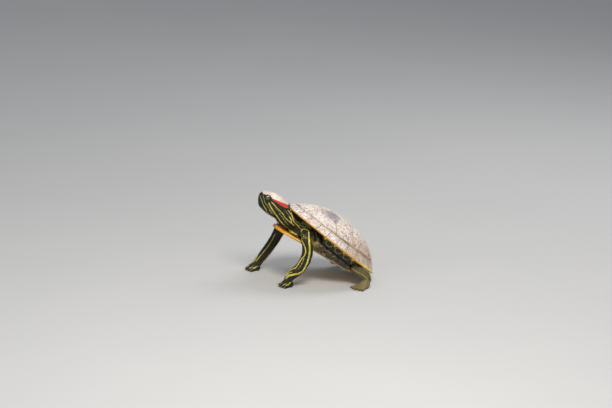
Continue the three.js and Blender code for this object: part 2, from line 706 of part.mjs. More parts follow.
// A webbed foot lying on the ground: a paddle with five toes, each with a claw.
function foot(leg) {
  const { heel, heading, length, width, toe, claw, fan } = leg.foot;
  const turn = THREE.MathUtils.degToRad(heading) * leg.hand;
  const heelPoint = at(heel[0] * leg.hand, heel[1], heel[2]);
  const aim = (angle) => new THREE.Vector3(Math.sin(turn + angle), -Math.cos(turn + angle), 0);
  const up = new THREE.Vector3(0, 0, 1);
  const ahead = aim(0);
  const place = (distance, height, spread = 0) => heelPoint.clone().setZ(height)
    .addScaledVector(ahead, distance)
    .addScaledVector(new THREE.Vector3().crossVectors(up, ahead), spread);
  const parts = [lofted([
    { centre: place(-3, 6.5), depth: up, wide: 4.2, deep: 4 },
    { centre: place(0, 5.4), depth: up, wide: 6.2, deep: 6.2 },
    { centre: place(length * 0.5, 3.6), depth: up, wide: width * 0.46, deep: 4.8 },
    { centre: place(length * 0.8, 2.2), depth: up, wide: width * 0.52, deep: 3.4 },
    { centre: place(length * 0.98, 1.2), depth: up, wide: width * 0.5, deep: 2.0 },
  ], 4, 8)];
  for (let i = 0; i < 5; i += 1) {
    const share = i / 2 - 1;
    const angle = THREE.MathUtils.degToRad(fan / 2) * share;
    const way = aim(angle);
    const root = place(length * (0.7 - 0.1 * Math.abs(share)), 2.4, width * 0.36 * share);
    const reach = length * 0.3 + toe * (1 - 0.28 * Math.abs(share));
    const section = (distance, height, wide, deep) => ({
      centre: root.clone().addScaledVector(way, distance).setZ(height), depth: up, wide, deep,
    });
    parts.push(lofted([
      section(0, 2.2, 2.3, 2.8), section(reach, 1.8, 1.8, 2.4), section(reach + claw, 0.7, 0.35, 0.5),
    ], 2, 5));
  }
  return joined(parts);
}

// A place on the line of a limb's or tail's keys, counted in keys from the first.
function linePoint(keys, place) {
  const line = new THREE.CatmullRomCurve3(keys.map((key) => key.centre), false, 'centripetal');
  return line.getPoint(place / (keys.length - 1));
}

function lineCut(keys, place, size) {
  const line = new THREE.CatmullRomCurve3(keys.map((key) => key.centre), false, 'centripetal');
  const t = place / (keys.length - 1);
  return cut(line.getPoint(t), line.getTangent(t), size, size);
}

function limbCuts(leg) {
  return leg.cuts.map((place, i) => lineCut(limbKeys(leg), place, i === 0 ? 40 : 26));
}

// ---------------------------------------------------------------- tail and trunk
const TAIL = [
  [0, -36, 21, 6, 5.4], [-1, -47, 13, 6, 5.4], [-5, -54.5, 7.8, 5.0, 4.8], [-13, -60, 4.2, 3.8, 3.9],
  [-23, -62.5, 2.1, 2.3, 2.5], [-31, -62, 0.9, 0.9, 1.1],
];
const TAIL_CUT = 1.5;
// The trunk fills the shell: [station, share of the room there].
const TRUNK = [
  [-66, 0.25], [-62, 0.6], [-54, 0.85], [-35, 0.97], [0, 1], [30, 1], [44, 0.96], [55, 0.8], [63, 0.3],
];
const TRUNK_CLEAR = 0.8;           // between the trunk and the plates

function tailKeys() {
  return TAIL.map(([side, forward, height, wide, deep]) => ({
    centre: at(side, forward, height), depth: new THREE.Vector3(0, 0, 1), wide, deep,
  }));
}

function trunk() {
  const sides = 12;
  const rings = TRUNK.map(([station, share]) => {
    const half = (outlineSideAt(station) - LIP_INWARD - 6.5) * share;
    const floor = -plastronDepth(station) + PLASTRON_THICK + TRUNK_CLEAR;
    const middle = floor + 11;
    return Array.from({ length: sides }, (_, side) => {
      const angle = 2 * Math.PI * side / sides;
      const x = signedPower(Math.cos(angle), 0.8) * half;
      const plan = new THREE.Vector2(x, station);
      const upright = domePoint(plan).z - domePoint(plan, 1).z;
      const roof = domeHeight(x, station) - (PLATE + TRUNK_CLEAR) / upright;
      const reach = Math.sin(angle) > 0 ? roof - middle : middle - floor;
      return onShell(x, station, middle + signedPower(Math.sin(angle), 0.7) * reach * share);
    });
  });
  return solidFrom(skinned(rings));
}

// ---------------------------------------------------------------- materials
function finish(color, roughness) {
  return new THREE.MeshStandardMaterial({ color, roughness, metalness: 0 });
}

const DRY_SCUTE = finish(0xcbbca6, 0.75);
const PLASTRON_HORN = finish(0xb98a2c, 0.55);
const STRIPED_SKIN = finish(0x33361f, 0.6);
const EYE_GLOSS = finish(0x8a8a2e, 0.1);

// ---------------------------------------------------------------- the animal
const turtle = new THREE.Group();

function addPart(name, solid, material) {
  const mesh = new THREE.Mesh(geometryFrom(solid), material.clone());
  mesh.name = name;
  turtle.add(mesh);
}

addPart('nuchal', nuchal(), DRY_SCUTE);
VERTEBRAL_WIDEST.forEach((_, i) => addPart(`vertebral_${i + 1}`, vertebral(i), DRY_SCUTE));
for (const [side, hand] of [['left', 1], ['right', -1]]) {
  for (let i = 0; i < 4; i += 1) addPart(`costal_${side}_${i + 1}`, costal(i, hand), DRY_SCUTE);
  for (let i = 1; i <= MARGINALS; i += 1) {
    addPart(`marginal_${side}_${i}`, marginal(i, hand), DRY_SCUTE);
  }
  const reach = [EYE_RADIUS, EYE_RADIUS, EYE_RADIUS];
  addPart(`eye_${side}`, ellipsoid(eyeCentre(hand), reach, 0, 12, 8), EYE_GLOSS);
}
addPart('plastron', plastron(), PLASTRON_HORN);

// The flesh: everything joined, trimmed by the shell and the ground, then parted by the cuts.
const legs = Object.values(LEGS);
const ground = solidFrom(new THREE.BoxGeometry(BIG, BIG, BIG).translate(0, 0, -BIG / 2));
const outer = joined([
  headAndNeck(),
  lofted(tailKeys(), 9, 8),
  ...legs.map((leg) => lofted(limbKeys(leg), 10, 8)),
  ...legs.map(foot),
]).subtract(carapaceClearance().add(plastron(PLASTRON_CLEAR)).add(ground));
const partings = joined([
  sectionCut(HEAD_CUT, 44, 52),
  sectionCut(NECK_CUT, 52, 44),
  jawCuts(),
  lineCut(tailKeys(), TAIL_CUT, 20),
  ...legs.flatMap(limbCuts),
]);
const fleshPieces = outer.add(trunk()).subtract(partings).decompose()
  .filter((piece) => piece.volume() > CRUMB);

// Each piece is named from a place inside it.
function addFlesh(name, place) {
  const seed = ellipsoid(place, [1, 1, 1], 0, 5, 4);
  const piece = fleshPieces.find((candidate) => !candidate.intersect(seed).isEmpty());
  addPart(name, piece, STRIPED_SKIN);
}

addFlesh('trunk', onShell(0, 0, 0));
addFlesh('neck', headKeys[9].centre);
addFlesh('head', headKeys[4].centre);
addFlesh('lower_jaw', at(0, 106, 110.5));
addFlesh('tail', tailKeys()[3].centre);
for (const leg of legs) {
  const [root, middle, end] = leg.cuts;
  addFlesh(leg.names[0], linePoint(limbKeys(leg), (root + middle) / 2));
  addFlesh(leg.names[1], linePoint(limbKeys(leg), (middle + end) / 2));
  addFlesh(leg.names[2], soleCentre(leg));
}

// The origin is on the ground, under the middle of the whole animal.
const box = new THREE.Box3().setFromObject(turtle);
const middle = box.getCenter(new THREE.Vector3());
turtle.children.forEach((mesh) => mesh.geometry.translate(-middle.x, -middle.y, 0));

export default turtle;
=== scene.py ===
"""A red-eared slider turtle, life size, basking with its front raised.

Metres, +Z up. The animal faces -Y and its left side is on +X. Lengths in the shape functions are in
millimetres, because the shell and the limbs follow the same named sizes as the solids they replace.
"""
import math
import random
from functools import partialmethod

import bmesh
import bpy
from mathutils import Matrix, Vector, kdtree, noise
from mathutils.bvhtree import BVHTree

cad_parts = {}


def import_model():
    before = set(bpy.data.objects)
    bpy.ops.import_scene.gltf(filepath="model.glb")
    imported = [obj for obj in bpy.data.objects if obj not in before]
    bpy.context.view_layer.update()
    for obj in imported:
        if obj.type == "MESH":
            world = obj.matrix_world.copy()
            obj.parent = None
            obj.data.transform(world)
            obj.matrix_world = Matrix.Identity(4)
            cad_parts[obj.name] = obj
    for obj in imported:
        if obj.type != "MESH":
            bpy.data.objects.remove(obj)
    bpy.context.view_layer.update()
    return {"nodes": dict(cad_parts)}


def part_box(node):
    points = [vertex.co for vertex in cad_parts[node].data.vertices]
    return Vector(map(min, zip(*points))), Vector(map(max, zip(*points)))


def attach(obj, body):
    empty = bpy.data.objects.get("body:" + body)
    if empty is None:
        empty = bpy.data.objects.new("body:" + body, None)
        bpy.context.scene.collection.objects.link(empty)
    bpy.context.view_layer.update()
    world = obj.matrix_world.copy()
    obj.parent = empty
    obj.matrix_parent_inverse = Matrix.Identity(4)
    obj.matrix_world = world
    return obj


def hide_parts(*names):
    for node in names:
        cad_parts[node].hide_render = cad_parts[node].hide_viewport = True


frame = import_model()
MM = 0.001
UP = Vector((0, 0, 1))

# ------------------------------------------------------------------ driving dimensions, millimetres
SHELL_LENGTH = 170
SHELL_HALF_WIDTH = 66
DOME_HEIGHT = 37
DOME_CURVE = 2.45
WIDEST_AT = -8
OUTLINE_CURVE = 2.25
RIM_SAG = 1
PITCH = math.radians(36.5)
SHELL_RISE = 61.5
PLASTRON_REAR = -73
PLASTRON_FRONT = 80.5
PLASTRON_DROP = 27
PLASTRON_SLOPE = 0.12
PLASTRON_DIP = 0.05
PLASTRON_THICK = 4.5
PLATE = 4.5
SCUTE_SWELL = 0.7
RING_FRONT = 0.885
RING_REAR = 0.83
NUCHAL_HALF_WIDTH = 6
MARGINALS = 12
EYE_RADIUS = 5.0
EYE = (7.9, 107.6, 129.0)          # side, forward, height of the left eye's centre
SCALLOP = 1.1
RIM_INSET = 0.85                   # keeps the flared rims inside the solid plates
LIP_INWARD = 12
LIP_DROP = 3.5
BRIDGE_DROP = 13
BRIDGE_FRONT = 34
BRIDGE_REAR = -32
BRIDGE_FADE = 9

# The frame's origin is under the middle of the whole animal, so the eyes give the animal's own axes.
eye_boxes = [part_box("eye_left"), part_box("eye_right")]
eye_places = [(Vector(low) + Vector(high)) / 2 for low, high in eye_boxes]
MIDDLE_X = (eye_places[0].x + eye_places[1].x) / 2
ORIGIN = Vector((MIDDLE_X, eye_places[0].y + EYE[1] * MM, 0))


def own(side, forward, height):
    """A place in the animal's own axes, in millimetres."""
    return Vector((side, -forward, height))


def local(point):
    return (point - ORIGIN) / MM


def world(point):
    return ORIGIN + point * MM


def on_shell(side, station, height):
    forward = station * math.cos(PITCH) - height * math.sin(PITCH)
    up = station * math.sin(PITCH) + height * math.cos(PITCH)
    return world(own(side, forward, SHELL_RISE + up))


def mirrored(point, hand):
    return Vector((point.x * hand, point.y, point.z))


def hand_of(point):
    return 1 if point.x > 0 else -1


def mix(a, b, t):
    return a + (b - a) * t


def clamp(value, low=0.0, high=1.0):
    return max(low, min(high, value))


def smoothstep(value, low, high):
    t = clamp((value - low) / (high - low))
    return t * t * (3 - 2 * t)


def hump(value, width):
    return math.exp(-(value / width) ** 2)


def ease_ends(t, amount=0.85):
    """Moves a place between 0 and 1 towards the nearer end."""
    return mix(t, 0.5 - 0.5 * math.cos(math.pi * t), amount)


def spline(points, t):
    """A point on the smooth line through points, for t from 0 to 1."""
    spans = len(points) - 1
    place = clamp(t) * spans
    i = min(int(place), spans - 1)
    f = place - i
    a, b = points[i], points[i + 1]
    before = points[i - 1] if i else a * 2 - b
    after = points[i + 2] if i + 2 <= spans else b * 2 - a
    curve = (before * 2 - a * 5 + b * 4 - after) * f ** 2 + (a * 3 - before - b * 3 + after) * f ** 3
    return (a * 2 + (b - before) * f + curve) * 0.5


# ------------------------------------------------------------------ mesh helpers
def link(name, data):
    thing = bpy.data.objects.new(name, data)
    bpy.context.collection.objects.link(thing)
    return thing


def new_object(name, bm):
    mesh = bpy.data.meshes.new(name)
    bm.to_mesh(mesh)
    bm.free()
    for polygon in mesh.polygons:
        polygon.use_smooth = True
    return link(name, mesh)


def finish_piece(thing, paint, slot, *nodes):
    thing.data.materials.clear()
    thing.data.materials.append(paint.material)
    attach(thing, "root")
    if nodes:
        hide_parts(*nodes)


def settled(thing):
    """The object's mesh with its modifiers applied; the object itself is removed."""
    graph = bpy.context.evaluated_depsgraph_get()
    mesh = bpy.data.meshes.new_from_object(thing.evaluated_get(graph))
    bpy.data.objects.remove(thing)
    return mesh


def float_layers(bm, names):
    return {name: bm.verts.layers.float.new(name) for name in names}


def grid(columns, rows, names=(), size=0.5):
    bm = bmesh.new()
    bmesh.ops.create_grid(bm, x_segments=columns, y_segments=rows, size=size)
    return bm, float_layers(bm, names)


def ball(bm, around, rings, radius=1, matrix=Matrix()):
    return bmesh.ops.create_uvsphere(bm, u_segments=around, v_segments=rings, radius=radius,
                                     matrix=matrix)["verts"]


def store(vert, layers, **values):
    for name, value in values.items():
        vert[layers[name]] = value


def face_outwards(bm):
    bmesh.ops.recalc_face_normals(bm, faces=bm.faces)


def split_large(bm):
    bmesh.ops.triangulate(bm, faces=[face for face in bm.faces if len(face.verts) > 4])


def close_tube(bm):
    """Joins a grid's two long edges and closes its ends."""
    bmesh.ops.remove_doubles(bm, verts=bm.verts, dist=1e-6)
    bmesh.ops.holes_fill(bm, edges=[edge for edge in bm.edges if edge.is_boundary])
    split_large(bm)
    face_outwards(bm)


# ------------------------------------------------------------------ shader maths
class Value:
    """A node's output that takes part in sums."""

    def __init__(self, paint, socket):
        self.paint, self.socket = paint, socket

    def maths(self, operation, *others):
        return self.paint.maths(operation, self, *others)

    def step(self, low, high, out_low=0.0, out_high=1.0):
        smooth = {"interpolation_type": "SMOOTHSTEP"}
        return self.paint.value("ShaderNodeMapRange", "Result", smooth, {
            "Value": self, "From Min": low, "From Max": high, "To Min": out_low, "To Max": out_high})

    def __rsub__(self, other):
        return self.paint.maths("SUBTRACT", other, self)

    __add__ = partialmethod(maths, "ADD")
    __sub__ = partialmethod(maths, "SUBTRACT")
    __mul__ = partialmethod(maths, "MULTIPLY")
    __truediv__ = partialmethod(maths, "DIVIDE")


class Paint:
    """A material, built one node at a time."""

    def __init__(self, name, roughness=0.5, **settings):
        self.material = bpy.data.materials.new(name)
        self.material.use_nodes = True
        self.tree = self.material.node_tree
        self.shader = self.tree.nodes["Principled BSDF"]
        self.shader.inputs["Roughness"].default_value = roughness
        for socket, value in settings.items():
            self.shader.inputs[socket.replace("_", " ")].default_value = value
        self.place = self.node("ShaderNodeTexCoord").outputs["Object"]

    def node(self, kind, settings=None, inputs=None):
        made = self.tree.nodes.new(kind)
        for key, value in (settings or {}).items():
            setattr(made, key, value)
        for key, value in (inputs or {}).items():
            self.feed(made.inputs[key], value)
        return made

    def value(self, kind, output, settings=None, inputs=None):
        return Value(self, self.node(kind, settings, inputs).outputs[output])

    def feed(self, socket, value):
        if isinstance(value, Value):
            value = value.socket
        if isinstance(value, bpy.types.NodeSocket):
            self.tree.links.new(value, socket)
        elif socket.type == "RGBA" and len(value) == 3:
            socket.default_value = (*value, 1)
        else:
            socket.default_value = value

    def maths(self, operation, *values):
        return self.value("ShaderNodeMath", 0, {"operation": operation}, dict(enumerate(values)))

    def marks(self, *names):
        return [self.value("ShaderNodeAttribute", "Fac", {"attribute_name": name}) for name in names]

    def stretched(self, scale, turn=(0, 0, 0)):
        return self.node("ShaderNodeMapping", None, {
            "Vector": self.place, "Scale": scale,
            "Rotation": tuple(math.radians(v) for v in turn)}).outputs["Vector"]

    def noise(self, scale, detail=2.0, rough=0.5, place=None, twist=0.0):
        return self.value("ShaderNodeTexNoise", "Fac", None, {
            "Vector": place or self.place, "Scale": scale, "Detail": detail, "Roughness": rough,
            "Distortion": twist})

    def cells(self, scale, feature="F1"):
        return self.value("ShaderNodeTexVoronoi", "Distance", {"feature": feature}, {
            "Vector": self.place, "Scale": scale})

    def near(self, point):
        """Distance from a point of the animal, in millimetres."""
        return self.value("ShaderNodeVectorMath", "Value", {"operation": "DISTANCE"},
                          {0: self.place, 1: point}) * (1 / MM)

    def blend(self, factor, a, b):
        return self.node("ShaderNodeMix", {"data_type": "RGBA"}, {0: factor, 6: a, 7: b}).outputs[2]

    def layers(self, colour, *coats):
        """A colour under further coats, each given by how far it covers and its own colour."""
        for cover, over in coats:
            colour = self.blend(cover, colour, over)
        return colour

    def finish(self, colour, roughness=None, relief=None, depth=0.0, strength=1.0):
        self.feed(self.shader.inputs["Base Color"], colour)
        if roughness:
            self.feed(self.shader.inputs["Roughness"], roughness)
        if relief:
            made = self.node("ShaderNodeBump", None, {
                "Strength": strength, "Distance": depth, "Height": relief})
            self.feed(self.shader.inputs["Normal"], made.outputs["Normal"])
        return self


# ------------------------------------------------------------------ camera, floor and light
CAMERA_SIDE = (69, 14.5)           # azimuth from the front and elevation, in degrees
CAMERA_ROLL = math.radians(4.5)    # the animal stood on a slope, so the picture is turned a little
CAMERA_DISTANCE = 5.0
PIXELS_PER_MM = 0.66
FRAME_WIDTH, FRAME_HEIGHT = 612, 408
ORIGIN_PIXEL = (326.25, 277.12)    # where the shell's foot point falls in the frame
SENSOR = 36.0
LIGHTS = {                         # azimuth, elevation, distance, size, power, colour
    "key": (78, 50, 1.6, 0.7, 21, (1.0, 0.955, 0.88)),
    "fill": (35, 22, 2.2, 1.4, 7, (0.94, 0.97, 1.0)),
    "rim": (205, 48, 1.8, 1.0, 12, (1.0, 0.98, 0.95)),
}
LIGHTS_AIM = Vector((0, 0, 0.07))
SKY, SKY_STRENGTH = (0.80, 0.84, 0.90, 1), 0.36
FLOOR_SIZE = 14


def seen_from(azimuth, elevation):
    a, e = math.radians(azimuth), math.radians(elevation)
    return Vector((math.sin(a) * math.cos(e), -math.cos(a) * math.cos(e), math.sin(e)))


def make_camera():
    roll = CAMERA_ROLL
    back = seen_from(*CAMERA_SIDE)
    level = UP.cross(back).normalized()
    upright = back.cross(level)
    right = level * math.cos(roll) + upright * math.sin(roll)
    up = upright * math.cos(roll) - level * math.sin(roll)
    across = (FRAME_WIDTH / 2 - ORIGIN_PIXEL[0]) / PIXELS_PER_MM
    rise = (ORIGIN_PIXEL[1] - FRAME_HEIGHT / 2) / PIXELS_PER_MM
    data = bpy.data.cameras.new("camera")
    data.sensor_width = SENSOR
    data.lens = PIXELS_PER_MM / MM * CAMERA_DISTANCE * SENSOR / FRAME_WIDTH
    data.clip_start, data.clip_end = 0.1, 60
    camera = link("camera", data)
    camera.matrix_world = Matrix((right, up, back)).transposed().to_4x4()
    camera.location = world(right * across + up * rise) + back * CAMERA_DISTANCE
    bpy.context.scene.camera = camera


def area_light(name, azimuth, elevation, distance, size, power, colour):
    back = seen_from(azimuth, elevation)
    data = bpy.data.lights.new(name, "AREA")
    data.shape, data.size, data.energy, data.color = "DISK", size, power, colour
    light = link(name, data)
    light.location = back * distance + LIGHTS_AIM
    light.rotation_mode = "QUATERNION"
    light.rotation_quaternion = (-back).to_track_quat("-Z", "Y")


def set_the_stage():
    floor = new_object("floor", grid(2, 2, size=FLOOR_SIZE)[0])
    paint = Paint("floor_paint", roughness=0.9)
    paint.finish(paint.blend(paint.noise(3.0, detail=3), (0.515, 0.52, 0.53), (0.555, 0.555, 0.555)))
    floor.data.materials.append(paint.material)
    for name, settings in LIGHTS.items():
        area_light(name, *settings)
    scene = bpy.context.scene
    scene.view_settings.view_transform = "Standard"
    scene.world = bpy.data.worlds.new("studio")
    scene.world.use_nodes = True
    background = scene.world.node_tree.nodes["Background"]
    background.inputs["Color"].default_value = SKY
    background.inputs["Strength"].default_value = SKY_STRENGTH


# ------------------------------------------------------------------ carapace surface
def half_length(station):
    return SHELL_LENGTH / 2 + (-WIDEST_AT if station > WIDEST_AT else WIDEST_AT)


def dome_height(side, station):
    across = abs(side) / SHELL_HALF_WIDTH
    along = abs(station - WIDEST_AT) / half_length(station)
    fraction = (across ** OUTLINE_CURVE + along ** OUTLINE_CURVE) ** (1 / OUTLINE_CURVE)
    return DOME_HEIGHT * (1 - fraction ** DOME_CURVE) - RIM_SAG * min(1, across)


def make_outline(steps=240):
    """The rim of the left side seen from above, front to rear, and the length up to each point."""
    def eased(value):
        return math.copysign(abs(value) ** (2 / OUTLINE_CURVE), value)

    points, lengths = [], [0.0]
    for i in range(steps + 1):
        turn = math.pi * i / steps
        reach = eased(math.cos(turn))
        side = eased(max(math.sin(turn), 0)) * SHELL_HALF_WIDTH
        length = half_length(WIDEST_AT + (1 if reach >= 0 else -1))
        points.append(Vector((side, WIDEST_AT + reach * length)))
        if i:
            lengths.append(lengths[-1] + (points[i] - points[i - 1]).length)
    return points, lengths


OUTLINE, OUTLINE_LENGTHS = make_outline()
HALF_OUTLINE = OUTLINE_LENGTHS[-1]
MARGINAL_LENGTH = (HALF_OUTLINE - NUCHAL_HALF_WIDTH) / MARGINALS


def outline_point(length):
    target = clamp(length, 0, HALF_OUTLINE)
    i = 1
    while i < len(OUTLINE) - 1 and OUTLINE_LENGTHS[i] < target:
        i += 1
    span = OUTLINE_LENGTHS[i] - OUTLINE_LENGTHS[i - 1]
    return OUTLINE[i - 1].lerp(OUTLINE[i], (target - OUTLINE_LENGTHS[i - 1]) / span)


def marginal_start(number):
    return NUCHAL_HALF_WIDTH + (number - 1) * MARGINAL_LENGTH


def ring_fraction(length):
    return mix(RING_FRONT, RING_REAR, length / HALF_OUTLINE)


def inward(length, fraction):
    rim = outline_point(length)
    return Vector((rim.x * fraction, WIDEST_AT + (rim.y - WIDEST_AT) * fraction))


def ring_plan(length):
    return inward(length, ring_fraction(length))


def dome_point(plan, lift=0.0):
    x, y, step = plan.x, plan.y, 0.5
    slope_side = (dome_height(x + step, y) - dome_height(x - step, y)) / (2 * step)
    slope_along = (dome_height(x, y + step) - dome_height(x, y - step)) / (2 * step)
    out = Vector((-slope_side, -slope_along, 1)).normalized()
    return Vector((x, y, dome_height(x, y))) + out * lift


# ------------------------------------------------------------------ scutes
VERTEBRAL_SEAMS = [73, 44, 13, -18, -46, -73]
VERTEBRAL_AT_SEAM = [15, 14, 14, 14, 12, 17]
VERTEBRAL_WIDEST = [18.5, 20, 20.5, 19, 15]
COSTAL_SEAM_MARGINALS = [1, 4.5, 6.5, 8.6, 11]
GROOVE = 0.55                      # depth of the seams between scutes
GROOVE_WIDTH = 0.7
SCUTE_THICK = PLATE - 0.6
RING_HEIGHT, RING_PACE = 0.07, 3.4             # of the fine growth rings
KEEL_HEIGHT, KEEL_WIDTH = 0.5, 2.6             # of the low ridge along the back
SCUTE_MARKS = ["seam", "ring", "rim", "hem", "fan"]
SUNK = -0.25                       # keeps the scutes' waves inside the solid plates
FAR = 40                           # stands for a mark that a scute doesn't have


def vertebral_corner(seam):
    if seam == 0:
        return ring_plan(marginal_start(2))
    if seam == len(VERTEBRAL_SEAMS) - 1:
        return ring_plan(marginal_start(MARGINALS))
    return Vector((VERTEBRAL_AT_SEAM[seam], VERTEBRAL_SEAMS[seam]))


def vertebral_edge(number, v):
    front, rear = vertebral_corner(number), vertebral_corner(number + 1)
    middle = (VERTEBRAL_SEAMS[number] + VERTEBRAL_SEAMS[number + 1]) / 2
    knee = Vector((VERTEBRAL_WIDEST[number], middle))
    return front.lerp(knee, v * 2) if v < 0.5 else knee.lerp(rear, v * 2 - 1)


def vertebral_cross(seam, across):
    corner = vertebral_corner(seam)
    if 0 < seam < len(VERTEBRAL_SEAMS) - 1:
        return Vector((corner.x * across, corner.y))
    at_front = seam == 0
    reach = marginal_start(2) if at_front else HALF_OUTLINE - marginal_start(MARGINALS)
    length = reach * abs(across)
    plan = ring_plan(length if at_front else HALF_OUTLINE - length)
    return Vector((math.copysign(plan.x, across), plan.y))


def vertebral_place(number):
    def place(u, v):
        across = 1 - 2 * u
        middle = vertebral_cross(number, across).lerp(vertebral_cross(number + 1, across), v)
        corners = vertebral_corner(number).lerp(vertebral_corner(number + 1), v)
        bulge = (vertebral_edge(number, v) - corners) * abs(across)
        return middle + Vector((bulge.x if across >= 0 else -bulge.x, bulge.y))
    return place


def costal_inner(number, v):
    """The edge that a costal scute shares with the vertebrals; the first and last share more of it."""
    place = number + {0: v * 1.5, 3: 0.5 + v * 1.5}.get(number, 0.5 + v)
    which = min(int(place), number + 1)
    return vertebral_edge(which, place - which)


def costal_place(number, hand):
    start, stop = [marginal_start(1 + COSTAL_SEAM_MARGINALS[seam]) for seam in (number, number + 1)]

    def place(u, v):
        plan = costal_inner(number, v).lerp(ring_plan(mix(start, stop, v)), u)
        return Vector((plan.x * hand, plan.y))
    return place


def groove(distance):
    return GROOVE * hump(distance, GROOVE_WIDTH)


def weathering(point, seed):
    """Low waves and wrinkles of old horn, in millimetres."""
    slow = noise.noise(point * 0.07 + Vector((seed, 0, 0)))
    fine = noise.noise(Vector((point.x * 0.55, point.y * 0.16, point.z * 0.5)) + Vector((0, seed, 0)))
    return 0.28 * slow + 0.13 * fine


def make_scute(name, node, place, areola, seed, columns=30, rows=30):
    """A scute over its four-sided place; areola is the (u, v) that its growth rings surround."""
    bm, layers = grid(columns, rows, SCUTE_MARKS)
    costal = name.startswith("costal")
    wide = (place(0, 0.5) - place(1, 0.5)).length
    long = (place(0.5, 0) - place(0.5, 1)).length
    for vert in bm.verts:
        u, v = ease_ends(vert.co.x + 0.5), ease_ends(vert.co.y + 0.5)
        here_wide = (place(0, v) - place(1, v)).length
        here_long = (place(u, 0) - place(u, 1)).length
        seam = min(min(u, 1 - u) * here_wide, min(v, 1 - v) * here_long)
        du = (u - areola[0]) / max(areola[0], 1 - areola[0])
        dv = (v - areola[1]) / max(areola[1], 1 - areola[1])
        ring = max(abs(du) * wide, abs(dv) * long) * 0.5
        plan = place(u, v)
        base = dome_point(plan)
        swell = SCUTE_SWELL * math.sqrt(max(0, 16 * u * (1 - u) * v * (1 - v))) * 0.9
        wave = math.sin(ring * RING_PACE + 2 * noise.noise(base * 0.09))
        rings = RING_HEIGHT * wave * smoothstep(seam, 0.6, 3)
        keel = 0 if costal else KEEL_HEIGHT * hump(plan.x, KEEL_WIDTH)
        lift = swell - groove(seam) + rings + keel * smoothstep(seam, 0.5, 4)
        lift += weathering(base, seed) * smoothstep(seam, 0.3, 3) + SUNK
        vert.co = on_shell(*dome_point(plan, lift))
        store(vert, layers, seam=seam, ring=ring, rim=FAR, hem=(1 - u) * here_wide if costal else FAR,
              fan=abs(math.atan2(du * wide, -dv * long)) if costal else 5 + u)
    face_outwards(bm)
    bm.faces.ensure_lookup_table()
    if bm.faces[len(bm.faces) // 2].normal.z < 0:
        bmesh.ops.reverse_faces(bm, faces=bm.faces)
    bmesh.ops.solidify(bm, geom=bm.faces[:], thickness=SCUTE_THICK * MM)
    face_outwards(bm)
    finish_piece(new_object(name, bm), DRY_HORN, "dry_scute", node)


def bridge_share(station):
    front = smoothstep(BRIDGE_FRONT + BRIDGE_FADE - station, 0, BRIDGE_FADE)
    rear = smoothstep(station - BRIDGE_REAR + BRIDGE_FADE, 0, BRIDGE_FADE)
    return front * rear


TOP_STEPS, UNDER_STEPS = 14, 11    # points of a marginal's outline above and below its edge
EDGE_DEPTH = 1.8                   # length of the rounded edge between them
RIM_FLARE = 0.7
UNDERSIDE = -12                    # marks further in than this are hidden by the flesh


def marginal_profile(length, stand):
    """A marginal's closed outline at a place on the rim, from its seam with the costals, over the
    rim and back inside. Each point comes with its distance from the rim along the surface, which is
    below zero on the underside."""
    rim = outline_point(length)
    reach = math.hypot(rim.x, rim.y - WIDEST_AT)
    to_centre = Vector((-rim.x, WIDEST_AT - rim.y, 0)).normalized()
    ring = ring_fraction(length)
    drop = mix(LIP_DROP, BRIDGE_DROP, bridge_share(rim.y))
    lip_plan = inward(length, 1 - LIP_INWARD / reach)
    lip = Vector((lip_plan.x, lip_plan.y, dome_height(rim.x, rim.y) - drop))
    top_width = reach * (1 - ring)
    points = []
    for i in range(TOP_STEPS):
        t = ease_ends(i / (TOP_STEPS - 1), 0.6)
        here = dome_point(inward(length, mix(ring, 1, t)), SUNK)
        flare = RIM_FLARE * smoothstep(t, 0.55, 1)
        here.z += flare - 0.35 * hump(t - 0.62, 0.2) - 0.75 * t * t
        here -= to_centre * stand * t
        points.append((here, (1 - t) * top_width))
    edge = points[-1][0]
    under = edge + to_centre * 1.2 - UP * 2
    for turn in (0.25, 0.5, 0.75, 1.0):
        out = math.sin(math.pi * turn) * 0.55
        points.append((edge.lerp(under, turn) - to_centre * out, -EDGE_DEPTH * turn))
    low = lip + UP * 0.15
    for i in range(1, UNDER_STEPS + 1):
        t = i / UNDER_STEPS
        hollow = UP * (0.8 * math.sin(math.pi * t))
        points.append((under.lerp(low, t) + hollow, -EDGE_DEPTH - t * (low - under).length))
    last = points[-1][1]
    inner = dome_point(inward(length, ring), -PLATE + 0.3)
    for t in (0.15, 0.5, 1.0):
        points.append(((low + UP * 2.2).lerp(inner, t) + to_centre * 1.2 * (1 - t), last - 3 * t))
    return points


def make_marginal(name, node, start, stop, hand, seed, scallop, steps=18):
    rings = []
    for step in range(steps + 1):
        t = ease_ends(step / steps)
        length = mix(start, stop, t)
        stand = scallop * math.sin(math.pi * t) - RIM_INSET
        rings.append((t, length, marginal_profile(abs(length), stand)))
    around = len(rings[0][2])
    bm, layers = grid(steps, around, SCUTE_MARKS)
    for vert in bm.verts:
        t, length, profile = rings[round((vert.co.x + 0.5) * steps)]
        point, rim = profile[round((vert.co.y + 0.5) * around) % around]
        on_top, outside = rim > 0, rim > UNDERSIDE
        hem = profile[0][1] - rim if on_top else FAR
        along = min(t, 1 - t) * abs(stop - start)
        seam = min(along, hem)
        point = point - UP * ((groove(seam) if on_top else -groove(seam)) if outside else 0)
        if on_top:
            point += UP * (weathering(point, seed) * 0.8 * smoothstep(seam, 0.3, 2.5))
        side = point.x * hand * (1 if length >= 0 else -1)
        vert.co = on_shell(side, point.y, point.z)
        store(vert, layers, seam=seam if outside else 9, ring=max(0.0, 20 - along), rim=rim, hem=hem,
              fan=t * 1.2)
    close_tube(bm)
    finish_piece(new_object(name, bm), DRY_HORN, "dry_scute", node)


